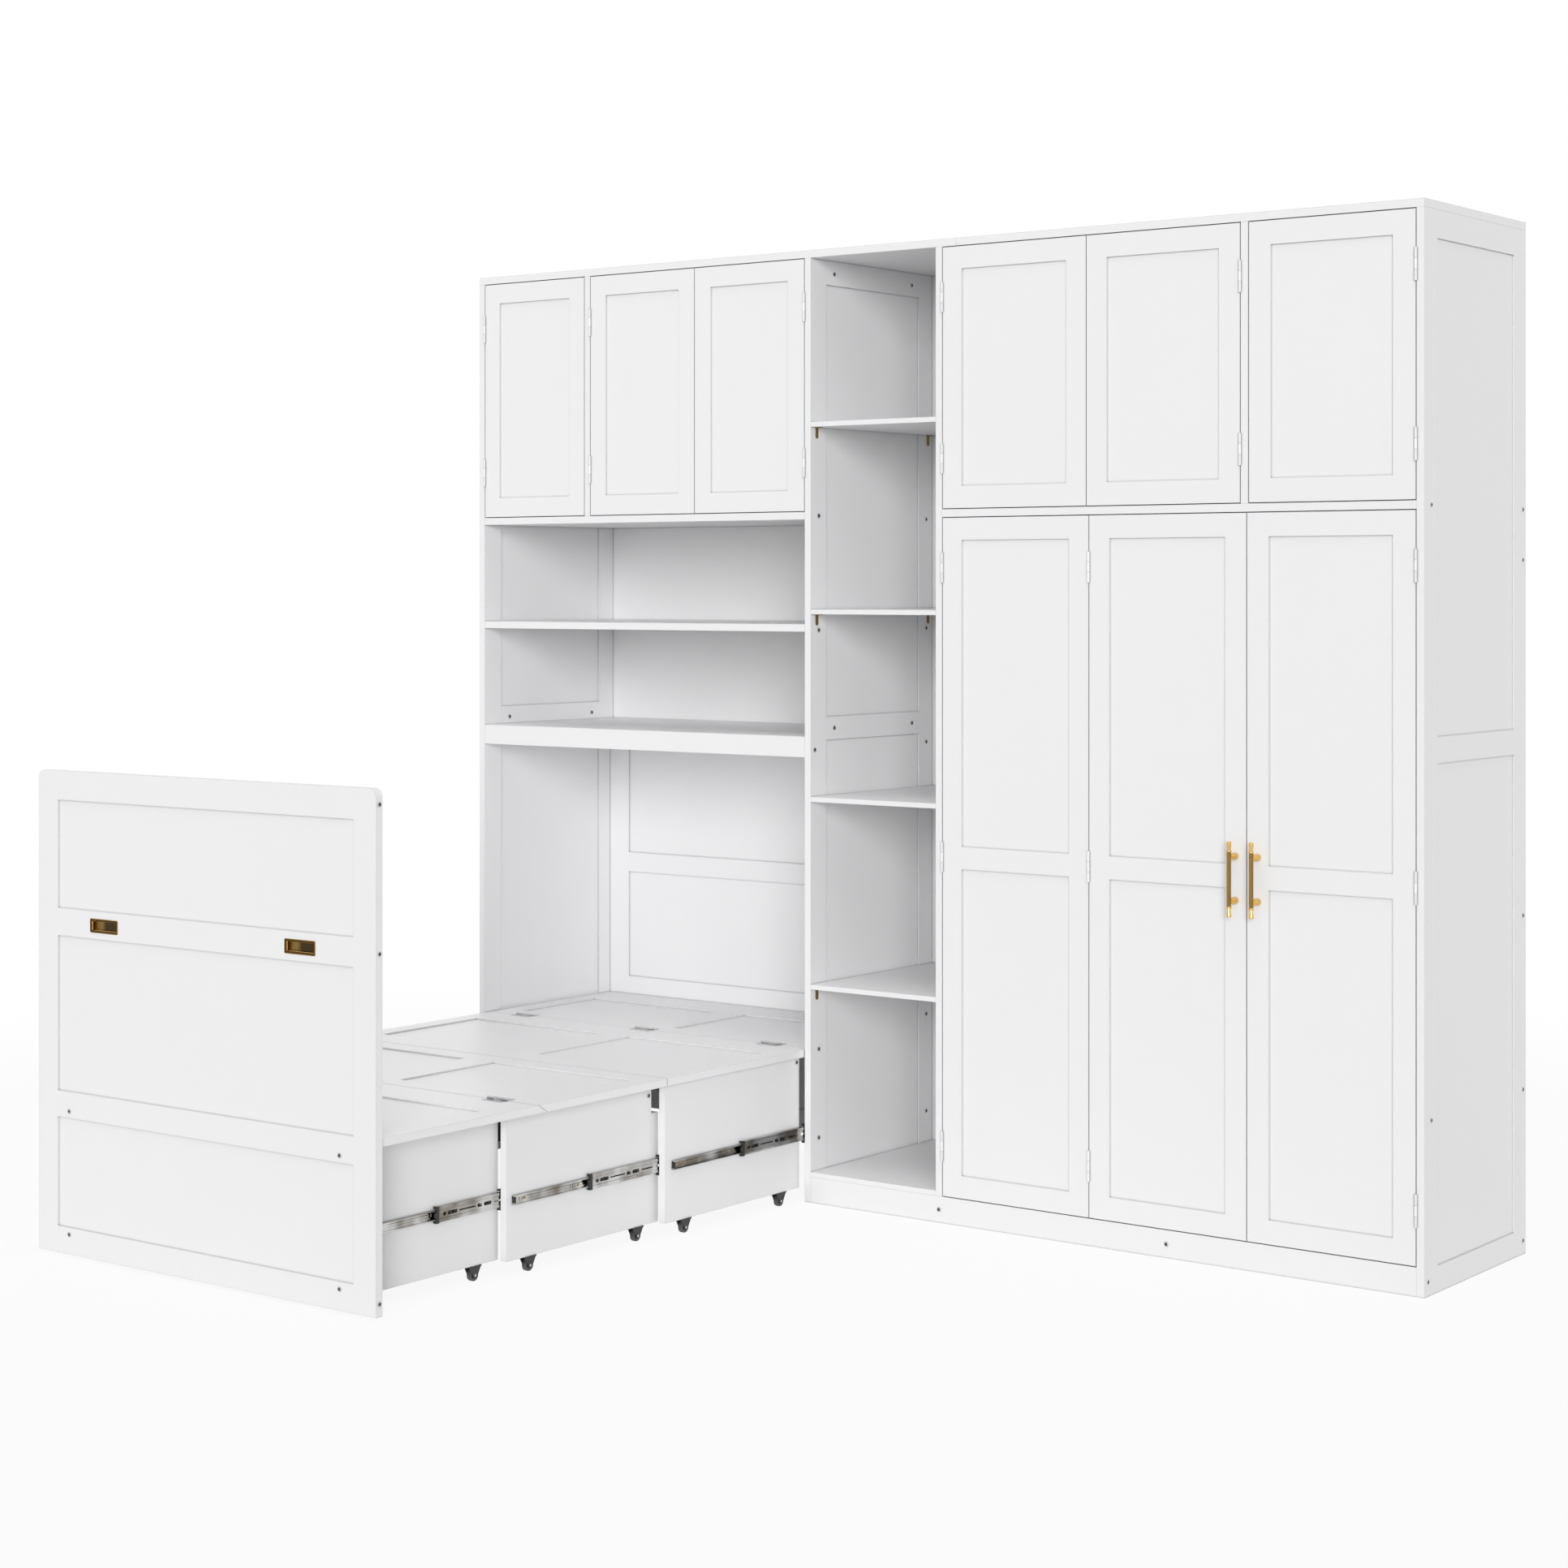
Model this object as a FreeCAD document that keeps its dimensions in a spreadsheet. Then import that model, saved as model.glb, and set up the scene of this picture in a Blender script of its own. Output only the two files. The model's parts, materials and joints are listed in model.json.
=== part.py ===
import FreeCAD, Part
import os
import Sketcher
from FreeCAD import Placement, Rotation, Vector

# Wall bed: a run of cabinets with a bed that pulls out of its left bay on telescopic base sections.
# X runs to the right seen from the front, Y towards the wall and Z up, with the origin under the middle.

driving_sizes = {
    # cabinet carcass
    "board": 18, "thin_board": 12, "back_board": 5, "web": 10,
    "bay_width": 1044, "tower_width": 362, "wardrobe_width": 1190,
    "cabinet_height": 2290, "cabinet_depth": 524, "plinth_height": 62,
    "top_joint": 1500, "seat": 0.3, "overrun": 5,
    "post_stile": 64, "post_foot_rail": 56, "post_middle_rail": 56, "post_middle_drop": 10,
    "post_top_rail": 60,
    # fixed boards between the uprights
    "cupboard_height": 611, "bed_end_cupboard": 345, "wardrobe_end_cupboard": 393,
    "headboard_top": 1120, "apron_height": 50,
    "back_frame_foot": 60, "back_stile": 67, "back_foot_rail": 50, "back_low_gap": 251, "back_rail": 53,
    "back_top_rail": 62,
    # open tower
    "tower_shelf_share": 0.204,
    "bracket_width": 10, "bracket_drop": 27, "bracket_reach": 14, "bracket_metal": 1.5,
    "bracket_inset": 24,
    # hanging rail
    "rail_drop": 109, "rail_back": 254, "rail_radius": 12.5, "flange_radius": 22, "flange_thick": 4,
    # doors and their hinges
    "door": 18, "door_gap": 2, "door_frame": 52, "cupboard_frame": 50,
    "hinge_height": 70, "hinge_inset": 116, "leaf": 0.8, "leaf_depth": 16,
    "knuckle_radius": 3.2, "knuckle_gap": 0.4,
    # bar handles
    "handle_spacing": 96, "handle_grip": 112, "handle_length": 164, "handle_grip_radius": 5,
    "handle_neck_radius": 3.4,
    "handle_end_radius": 5.2, "handle_standoff": 30, "post_radius": 4, "rose_radius": 8, "rose_thick": 3,
    "handle_edge": 27, "handle_height": 848, "handle_collar": 6, "handle_collar_radius": 6,
    # pull-out base
    "bed_reach": 1452, "footboard": 18, "footboard_lap": 3, "footboard_foot": 7, "footboard_top": 1074,
    "footboard_stile": 65, "foot_low": 66, "foot_third_low": 308, "foot_third_high": 366,
    "foot_second_low": 709, "foot_second_high": 770, "foot_corner": 19, "closed_gap": 12,
    "section_foot": 34, "section_board": 18, "side_play": 12.7,
    "first_proud": 6, "second_proud": 5, "third_length": 427,
    "first_front": 514, "second_front": 1012,
    "cross_rail": 20, "cross_rail_height": 60, "notch_depth": 24, "notch_height": 64, "cross_rail_drop": 12,
    # slides
    "slide_height": 164, "slide_back_gap": 10, "slide_length_third": 405, "slide_inset": 16,
    "outer_half": 22, "middle_half": 16.2, "inner_half": 10, "slide_metal": 1.2,
    "outer_depth": 11, "middle_start": 1.9, "middle_end": 11.2, "inner_start": 3.7,
    "first_rear_gap": 4, "second_rear_gap": 2,
    # casters
    "wheel_radius": 13, "wheel_width": 12, "axle_radius": 2.5, "wheel_play": 0.05,
    "plate_width": 22, "plate_length": 34, "plate_thick": 3, "cheek": 2.5, "cheek_foot": 14, "cheek_gap": 0.6,
    "caster_front_inset": 76, "caster_rear_inset": 70,
    # deck boards
    "deck_top": 366, "deck_board": 18, "deck_side_gap": 2, "deck_gap": 1,
    "first_fold": 24, "second_fold": 520, "third_fold": 957, "deck_end_gap": 2,
    "fold_axis_rise": 3, "seam_bevel": 30, "seam_gap": 1.5,
    "deck_stile": 52, "deck_middle": 90, "deck_web": 10,
    "first_rail_front": 60, "first_rail_back": 127, "second_rail_back": 115, "second_rail_front": 88,
    "third_rail_back": 62, "third_rail_front": 60, "fourth_rail_back": 119, "fourth_rail_front": 60,
    "deck_hinge_share": 0.3865, "deck_hinge_length": 60, "deck_leaf": 1.2, "deck_leaf_width": 20,
    "deck_knuckle_radius": 2.8, "deck_pin_radius": 1.2, "pin_play": 0.05, "deck_leaf_gap": 3.5,
    "cleat_width": 11, "cleat_height": 20, "cleat_front": 30,
    # flush pulls
    "pull_width": 91, "pull_height": 31, "pull_height_centre": 738.5, "pull_share": 0.291,
    "pull_lip": 1, "pull_cup_depth": 11, "pull_rim": 3.5, "pull_wall": 1.2,
    # bolt heads
    "bolt_radius": 5.5, "bolt_head": 0.8, "rail_bolt_drop": 11, "foot_bolt_inset": 104, "foot_bolt_rise": 15,
    "side_bolt_drop": 112, "tower_bolt_drop": 38,
}

document = FreeCAD.newDocument("wall_bed")
sheet = document.addObject("Spreadsheet::Sheet", "sizes")
for row_number, (word, value) in enumerate(driving_sizes.items(), start=1):
    sheet.set(f"A{row_number}", str(value))
    sheet.setAlias(f"A{row_number}", word)
document.recompute()


class Size:
    """A length as text for setExpression, so that sums of sizes stay bound to the sheet."""

    def __init__(self, text):
        self.text = str(text)

    def __add__(self, other):
        return Size(f"({self.text} + {text_of(other)})")

    def __sub__(self, other):
        return Size(f"({self.text} - {text_of(other)})")

    def __mul__(self, other):
        return Size(f"({self.text} * {text_of(other)})")

    def __truediv__(self, other):
        return Size(f"({self.text} / {text_of(other)})")

    def __neg__(self):
        return Size(f"(0 - {self.text})")


def text_of(value):
    return value.text if isinstance(value, Size) else str(value)


class Sheet:
    """Names each cell of the sheet, so that size.board reads the cell with that alias."""

    def __getattr__(self, word):
        if word not in driving_sizes:
            raise AttributeError(word)
        return Size(f"sizes.{word}")


size = Sheet()
zero = Size("0")

# Places that many pieces share, worked out from the driving sizes.
total_width = size.board * 4 + size.bay_width + size.tower_width + size.wardrobe_width
left = -total_width / 2
right = total_width / 2
front = (size.bed_reach + size.pull_lip - size.cabinet_depth) / 2
back = front + size.cabinet_depth
bay_left = left + size.board
bay_right = bay_left + size.bay_width
bay_middle = bay_left + size.bay_width / 2
tower_left = bay_right + size.board
tower_right = tower_left + size.tower_width
wardrobe_left = tower_right + size.board
wardrobe_right = wardrobe_left + size.wardrobe_width
under_top = size.cabinet_height - size.board
inner_back = back - size.back_board
inner_depth = size.cabinet_depth - size.back_board
cupboard_top = under_top - size.cupboard_height
cupboard_floor = cupboard_top - size.board
middle_shelf = (size.headboard_top + cupboard_floor - size.board) / 2
bed_divider = bay_left + size.bed_end_cupboard
wardrobe_divider = wardrobe_right - size.wardrobe_end_cupboard - size.board
rail_height = cupboard_floor - size.rail_drop
panel_recess = (size.board - size.web) / 2
deck_under = size.deck_top - size.deck_board
deck_width = size.bay_width - size.deck_side_gap * 2
footboard_width = size.bay_width + size.footboard_lap * 2
section_top = deck_under - size.seat
footboard_front = front - size.bed_reach
footboard_back = footboard_front + size.footboard
slide_length = size.cabinet_depth - size.board - size.slide_inset - size.slide_back_gap
# Pushed in, the first two sections reach from just before the bay's back frame to just proud of the cabinet.
first_length = size.cabinet_depth - size.board - size.first_rear_gap + size.first_proud
second_length = size.cabinet_depth - size.board - size.second_rear_gap + size.second_proud
first_travel = size.first_front - size.first_proud
second_travel = size.second_front - size.second_proud - first_travel
third_travel = size.bed_reach - size.footboard - size.closed_gap - first_travel - second_travel

nodes = {}


def place(item, x, y, z):
    for axis, value in (("x", x), ("y", y), ("z", z)):
        item.setExpression(f"Placement.Base.{axis}", text_of(value))
    return item


def box(name, x, y, z, length, depth, height):
    item = document.addObject("Part::Box", name)
    for key, value in (("Length", length), ("Width", depth), ("Height", height)):
        item.setExpression(key, text_of(value))
    return place(item, x, y, z)


turn_to_x = Rotation(Vector(0, 1, 0), 90)
turn_to_y = Rotation(Vector(1, 0, 0), -90)
no_turn = Rotation()


def rod(name, radius, length, x, y, z, turn=no_turn):
    """A cylinder that runs along Z, or along X or Y when turned."""
    item = document.addObject("Part::Cylinder", name)
    item.setExpression("Radius", text_of(radius))
    item.setExpression("Height", text_of(length))
    item.Placement = Placement(Vector(), turn)
    return place(item, x, y, z)


def fuse(name, items):
    item = document.addObject("Part::MultiFuse", name)
    item.Shapes = items
    return item


def cut(name, base, tool):
    item = document.addObject("Part::Cut", name)
    item.Base = base
    item.Tool = tool
    return item


def group(name, items):
    item = document.addObject("Part::Compound", name)
    item.Links = items
    return item


def node(name, item, body):
    """Names a finished piece, and the moving group that it belongs to."""
    item.Label = name
    nodes[name] = (item, body)
    return item


def draw(sketch, points):
    """Adds a closed outline whose corners are held from the sketch's origin, all to its right and above."""
    count = len(points)
    first = sketch.GeometryCount
    start = [Vector(1 + index % 2, 1 + index // 2, 0) for index in range(count)]
    for index in range(count):
        sketch.addGeometry(Part.LineSegment(start[index], start[(index + 1) % count]), False)
    for index in range(count):
        following = first + (index + 1) % count
        sketch.addConstraint(Sketcher.Constraint("Coincident", first + index, 2, following, 1))
    for index, (across, up) in enumerate(points):
        for kind, value in (("DistanceX", across), ("DistanceY", up)):
            held = sketch.addConstraint(Sketcher.Constraint(kind, -1, 1, first + index, 1, 1.0))
            sketch.setExpression(f"Constraints[{held}]", text_of(value))


def rectangle(x0, y0, x1, y1):
    return [(x0, y0), (x1, y0), (x1, y1), (x0, y1)]


def new_sketch(body, plane, outlines):
    sketch = body.newObject("Sketcher::SketchObject", "outline")
    origin_plane = [item for item in body.Origin.OriginFeatures if item.Role == plane][0]
    sketch.AttachmentSupport = [(origin_plane, "")]
    sketch.MapMode = "FlatFace"
    for points in outlines:
        draw(sketch, points)
    return sketch


def add_pad(body, sketch, length, symmetric=True, kind="PartDesign::Pad"):
    pad = body.newObject(kind, "step")
    pad.Profile = sketch
    pad.setExpression("Length", text_of(length))
    if symmetric:
        pad.SideType = "Symmetric"
    return pad


def slab(name, plane, outlines, thick, x, y, z):
    """A flat piece drawn on a plane and padded to both sides of it."""
    body = document.addObject("PartDesign::Body", name)
    add_pad(body, new_sketch(body, plane, outlines), thick)
    return place(body, x, y, z)


def framed(name, plane, width, height, thick, web, windows, x, y, z):
    """A frame of stiles and rails round thinner panels that lie back from both faces."""
    body = document.addObject("PartDesign::Body", name)
    openings = [rectangle(*window) for window in windows]
    add_pad(body, new_sketch(body, plane, [rectangle(zero, zero, width, height)] + openings), thick)
    inset = size.web
    panel = rectangle(inset, inset, width - inset, height - inset)
    add_pad(body, new_sketch(body, plane, [panel]), web)
    return place(body, x, y, z)


# Cabinet carcass


post_middle_low = size.headboard_top - size.post_middle_drop


def upright(name, x):
    rear = size.cabinet_depth - size.post_stile
    low = (size.post_stile, size.post_foot_rail, rear, post_middle_low)
    high = (size.post_stile, post_middle_low + size.post_middle_rail, rear, under_top - size.post_top_rail)
    return framed(name, "YZ_Plane", size.cabinet_depth, under_top, size.board, size.web, [low, high],
                  x + size.board / 2, front, zero)


def carcass():
    node("left_side_panel", upright("left_side", left), "cabinet")
    node("bed_tower_upright", upright("bed_upright", bay_right), "cabinet")
    whole = upright("wardrobe_upright", tower_right)
    over = size.overrun
    notch = box("plinth_notch", tower_right - over, front - over, -over, size.board + over * 2,
                size.board + over, size.plinth_height + over)
    node("tower_wardrobe_upright", cut("notched_upright", whole, notch), "cabinet")
    node("right_side_panel", upright("right_side", wardrobe_right), "cabinet")
    run = left + size.top_joint
    tops = [box("top_left", left, front, under_top, size.top_joint, size.cabinet_depth, size.board),
            box("top_right", run, front, under_top, right - run, size.cabinet_depth, size.board)]
    node("top_boards", group("tops", tops), "cabinet")
    rail_run = wardrobe_right - tower_left
    rear_left = inner_back - size.board
    rear_runs = [(tower_left, size.tower_width), (wardrobe_left, size.wardrobe_width)]
    rails = [box("plinth_front", tower_left, front, zero, rail_run, size.board, size.plinth_height)]
    rails += [box("plinth_rear", x, rear_left, zero, run_length, size.board, size.plinth_height)
              for x, run_length in rear_runs]
    node("plinth_rails", group("plinths", rails), "cabinet")
    behind_doors = size.door + size.door_gap
    floors = [box("tower_floor", tower_left, front, size.plinth_height, size.tower_width, inner_depth,
                  size.thin_board),
              box("wardrobe_floor", wardrobe_left, front + behind_doors, size.plinth_height,
                  size.wardrobe_width, inner_depth - behind_doors, size.board)]
    node("floor_boards", group("floors", floors), "cabinet")


def backs():
    tall = under_top - size.plinth_height
    high_foot = size.headboard_top - size.board
    boards = [box("bed_back", bay_left, inner_back, high_foot, size.bay_width, size.back_board,
                  under_top - high_foot),
              box("tower_back", tower_left, inner_back, size.plinth_height, size.tower_width,
                  size.back_board, tall),
              box("wardrobe_back", wardrobe_left, inner_back, size.plinth_height, size.wardrobe_width,
                  size.back_board, tall)]
    node("back_boards", group("backs", boards), "cabinet")
    foot = size.back_frame_foot
    side = size.back_stile
    far = size.bay_width - size.back_stile
    low_top = size.back_foot_rail + size.back_low_gap
    rail = size.back_rail
    top = high_foot - foot - size.back_top_rail
    middle = (low_top + top) / 2
    windows = [(side, size.back_foot_rail, far, low_top), (side, low_top + rail, far, middle),
               (side, middle + rail, far, top)]
    node("bed_back_frame", framed("back_frame", "XZ_Plane", size.bay_width, high_foot - foot, size.board,
                                  size.web, windows, bay_left, back - size.board / 2, foot), "cabinet")


def shelves():
    depth = inner_depth
    floors = [box("cupboard_floor", x, front, cupboard_floor, wide, depth, size.board)
              for x, wide in ((bay_left, size.bay_width), (wardrobe_left, size.wardrobe_width))]
    node("cupboard_floors", group("cupboard_floor_set", floors), "cabinet")
    tall = under_top - cupboard_top
    dividers = [box("divider", x, front, cupboard_top, size.board, depth, tall)
                for x in (bed_divider, wardrobe_divider)]
    node("cupboard_dividers", group("dividers", dividers), "cabinet")
    node("bed_middle_shelf", box("middle_shelf", bay_left, front, middle_shelf, size.bay_width, depth,
                                 size.board), "cabinet")
    apron = box("apron", bay_left, front, size.headboard_top - size.apron_height, size.bay_width,
                size.board, size.apron_height)
    top = box("headboard_shelf", bay_left, front + size.board, size.headboard_top - size.board,
              size.bay_width, depth - size.board, size.board)
    node("headboard_shelf", group("headboard", [top, apron]), "cabinet")
    levels = [tower_level(step) for step in range(1, 5)]
    boards = [box("tower_shelf", tower_left, front, level, size.tower_width, depth, size.thin_board)
              for level in levels]
    node("tower_shelves", group("tower_shelf_set", boards), "cabinet")
    clips = [bracket(levels[step], depth_in, on_right) for step in (0, 2, 3)
             for depth_in in (size.bracket_inset, size.cabinet_depth - size.bracket_inset)
             for on_right in (False, True)]
    node("shelf_brackets", group("brackets", clips), "cabinet")


def tower_level(step):
    """Height of a shelf in the open tower, counted up from 1."""
    return size.plinth_height + (under_top - size.plinth_height) * size.tower_shelf_share * step


def bracket(level, depth_in, on_right):
    wide = size.bracket_width
    metal = size.bracket_metal
    wall = tower_right - metal if on_right else tower_left
    arm_left = tower_right - size.bracket_reach if on_right else tower_left
    y = front + depth_in - wide / 2
    round_z = level - size.bracket_drop + wide / 2
    plate = box("clip_plate", wall, y, round_z, metal, wide, size.bracket_drop - wide / 2)
    end = rod("clip_end", wide / 2, metal, wall, front + depth_in, round_z, turn_to_x)
    arm = box("clip_arm", arm_left, y, level - metal, size.bracket_reach, wide, metal)
    return fuse("clip", [plate, end, arm])


def hanging_rail():
    thick = size.flange_thick
    y = front + size.rail_back
    ends = (wardrobe_left - panel_recess, wardrobe_right + panel_recess)
    bar = rod("rail_bar", size.rail_radius, ends[1] - ends[0] - thick * 2, ends[0] + thick, y,
              rail_height, turn_to_x)
    flanges = [rod("rail_flange", size.flange_radius, thick, x, y, rail_height, turn_to_x)
               for x in (ends[0], ends[1] - thick)]
    node("hanging_rail", group("rail", [bar] + flanges), "cabinet")


# Doors. Each row holds: left edge, right edge, hinge side, and whether it is a tall one.

door_gap = size.door_gap
low_door_foot = size.plinth_height + door_gap
low_door_top = cupboard_floor - door_gap
high_door_foot = cupboard_top + door_gap
high_door_top = under_top - door_gap


def leaf_plate(name, x, z, tall):
    return box(name, x, front + door_gap, z, size.leaf, size.leaf_depth, tall)


def knuckle(x, z, tall, toward_right):
    """One knuckle in front of the face, with the tab that joins it to its leaf."""
    y = front - size.knuckle_radius
    turned = rod("knuckle", size.knuckle_radius, tall, x, y, z)
    metal = size.leaf
    tab_x = x + door_gap / 2 - metal if toward_right else x - door_gap / 2
    tab = box("tab", tab_x, y, z, metal, size.knuckle_radius + door_gap, tall)
    return [turned, tab]


def hinge_leaf(x, z, middle, toward_right):
    """A leaf with the middle knuckle, or with the two outer ones, on the hinge line at x."""
    third = size.hinge_height / 3
    metal = size.leaf
    plate_x = x + door_gap / 2 - metal if toward_right else x - door_gap / 2
    parts = [leaf_plate("leaf", plate_x, z, size.hinge_height)]
    gap = size.knuckle_gap
    if middle:
        parts += knuckle(x, z + third + gap / 2, third - gap, toward_right)
    else:
        parts += knuckle(x, z, third - gap / 2, toward_right)
        parts += knuckle(x, z + third * 2 + gap / 2, third - gap / 2, toward_right)
    return fuse("hinge_leaf", parts)


def hinge_heights(foot, top, tall):
    half = size.hinge_height / 2
    ends = [foot + size.hinge_inset - half, top - size.hinge_inset - half]
    if tall:
        ends.append((foot + top) / 2 - half)
    return ends


def door_panel(name, x0, x1, foot, top, frame, tall):
    wide = x1 - x0
    high = top - foot
    if tall:
        middle = high / 2
        windows = [(frame, frame, wide - frame, middle - frame / 2),
                   (frame, middle + frame / 2, wide - frame, high - frame)]
    else:
        windows = [(frame, frame, wide - frame, high - frame)]
    return framed(name, "XZ_Plane", wide, high, size.door, size.web, windows, x0,
                  front + size.door / 2, foot)


def doors():
    """Returns the jamb leaves, which stay on the cabinet."""
    half_gap = door_gap / 2
    pair_middle = (bed_divider + size.board + bay_right) / 2
    high_middle = (wardrobe_left + wardrobe_divider) / 2
    third = size.wardrobe_width / 3
    bed_frame = size.cupboard_frame
    tall_frame = size.door_frame
    plan = [
        (1, bay_left, bed_divider, "left", False, bed_frame, "full", "full"),
        (2, bed_divider + size.board, pair_middle, "left", False, bed_frame, "full", "half"),
        (3, pair_middle, bay_right, "right", False, bed_frame, "half", "full"),
        (4, wardrobe_left, high_middle, "left", False, tall_frame, "full", "half"),
        (5, high_middle, wardrobe_divider, "right", False, tall_frame, "half", "full"),
        (6, wardrobe_divider + size.board, wardrobe_right, "right", False, tall_frame, "full", "full"),
        (7, wardrobe_left, wardrobe_left + third, "left", True, tall_frame, "full", "half"),
        (8, wardrobe_left + third, wardrobe_left + third * 2, "left", True, tall_frame, "half", "half"),
        (9, wardrobe_left + third * 2, wardrobe_right, "right", True, tall_frame, "half", "full"),
    ]
    jamb_leaves = []
    extra_leaves = {}
    door_parts = {}
    for number, x0, x1, side, tall, frame, gap_left, gap_right in plan:
        inset_left = door_gap if gap_left == "full" else half_gap
        inset_right = door_gap if gap_right == "full" else half_gap
        foot, top = (low_door_foot, low_door_top) if tall else (high_door_foot, high_door_top)
        panel = door_panel(f"door_{number}_panel", x0 + inset_left, x1 - inset_right, foot, top, frame, tall)
        if number == 8:
            line = x0
        else:
            line = x0 + half_gap if side == "left" else x1 - half_gap
        moving = [hinge_leaf(line, z, True, side == "left") for z in hinge_heights(foot, top, tall)]
        fixed = [hinge_leaf(line, z, False, side != "left") for z in hinge_heights(foot, top, tall)]
        door_parts[number] = [panel] + moving
        if number == 8:
            extra_leaves[7] = fixed
        else:
            jamb_leaves += fixed
    for number, parts in door_parts.items():
        node(f"door_{number}", group(f"door_set_{number}", parts + extra_leaves.get(number, [])),
             f"door_{number}")
    node("jamb_hinge_leaves", group("jamb_leaves", jamb_leaves), "cabinet")
    meeting = wardrobe_left + third * 2
    node("handle_left", handle(meeting - size.handle_edge), "door_8")
    node("handle_right", handle(meeting + size.handle_edge), "door_9")


def handle(x):
    """A turned bar with a long grip, necks and flared ends, on two posts with roses."""
    half = size.handle_length / 2
    grip = size.handle_grip / 2
    collar = size.handle_collar
    body = document.addObject("PartDesign::Body", "handle_bar")
    thick, thin, flare = size.handle_grip_radius, size.handle_neck_radius, size.handle_end_radius
    outline = [(zero, zero), (flare, zero), (thin, half - grip - collar),
               (size.handle_collar_radius, half - grip - collar),
               (size.handle_collar_radius, half - grip), (thick, half - grip), (thick, half + grip),
               (size.handle_collar_radius, half + grip), (size.handle_collar_radius, half + grip + collar),
               (thin, half + grip + collar), (flare, size.handle_length), (zero, size.handle_length)]
    sketch = new_sketch(body, "XZ_Plane", [outline])
    turned = body.newObject("PartDesign::Revolution", "turned")
    turned.Profile = sketch
    turned.ReferenceAxis = (sketch, ["V_Axis"])
    y = front - size.handle_standoff
    place(body, x, y, size.handle_height - half)
    parts = [body]
    for step in (-1, 1):
        z = size.handle_height + size.handle_spacing / 2 * step
        parts.append(rod("handle_post", size.post_radius, size.handle_standoff, x, y, z, turn_to_y))
        parts.append(rod("handle_rose", size.rose_radius, size.rose_thick, x, front - size.rose_thick, z,
                         turn_to_y))
    return fuse("handle", parts)


# Pull-out base: three open-fronted sections, each of which slides into the one behind it.

section_height = section_top - size.section_foot
pitch = size.side_play + size.section_board


def side_x(order):
    """Outer face of the left side board of a section, counted from the cabinet."""
    return bay_left + size.side_play + pitch * order


def mirrored(x, wide):
    """The left edge of the same piece on the right-hand side of the bay."""
    return bay_middle * 2 - x - wide


def cross_rail(x, y, top):
    """A rail between two mirrored faces of a section, given the left one."""
    return box("cross_rail", x, y, top - size.cross_rail_height, mirrored(x, zero) - x, size.cross_rail,
               size.cross_rail_height)


def section(name, order, front_y, length, notched, rail_y, rail_top, body_name):
    wide = size.section_board
    over = size.overrun
    pieces = []
    for x in (side_x(order), mirrored(side_x(order), wide)):
        points = [(zero, zero), (length, zero)]
        if notched:
            points += [(length, section_height - size.notch_height),
                       (length - size.notch_depth, section_height - size.notch_height),
                       (length - size.notch_depth, section_height)]
        else:
            points.append((length, section_height))
        points.append((zero, section_height))
        pieces.append(slab("section_side", "YZ_Plane", [points], wide, x + wide / 2, front_y,
                           size.section_foot))
    if rail_y:
        pieces.append(cross_rail(side_x(order) + wide, rail_y, rail_top))
    node(name, group(name + "_set", pieces), body_name)


first_y = front - size.first_front
second_y = front - size.second_front
third_y = footboard_back
first_rear = first_y + first_length
second_rear = second_y + second_length
third_rear = third_y + size.third_length


def sections():
    rail = size.cross_rail
    section("bed_section_1", 0, first_y, first_length, False, first_rear - rail, section_top, "section_1")
    section("bed_section_2", 1, second_y, second_length, True, second_rear - size.notch_depth - rail,
            section_top - size.cross_rail_drop, "section_2")
    section("bed_section_3", 2, third_y, size.third_length, False, None, None, "section_3")
    node("section_3_rear_rail", cross_rail(side_x(2), third_rear, section_top), "section_3")


def channel(name, start, end, half, x_wall, facing, y, length):
    """A C section with its web at start and its lips reaching to end, measured from the outer wall."""
    metal = size.slide_metal
    deep = end - start
    outline = [(zero, zero), (deep, zero), (deep, metal), (metal, metal), (metal, half * 2 - metal),
               (deep, half * 2 - metal), (deep, half * 2), (zero, half * 2)]
    if facing == "left":
        outline = [(deep - across, up) for across, up in outline]
    body = document.addObject("PartDesign::Body", name)
    add_pad(body, new_sketch(body, "XZ_Plane", [outline]), length)
    return place(body, x_wall, y + length / 2, size.slide_height - half)


def channel_pair(name, start, end, half, open_inwards, order, y, length):
    """The same member on both sides of a stage."""
    wall = bay_left + pitch * order
    x_left = wall + start
    deep = end - start
    x_right = mirrored(x_left, deep)
    facings = ("right", "left") if open_inwards else ("left", "right")
    return [channel(name, start, end, half, x_left, facings[0], y, length),
            channel(name, start, end, half, x_right, facings[1], y, length)]


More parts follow.
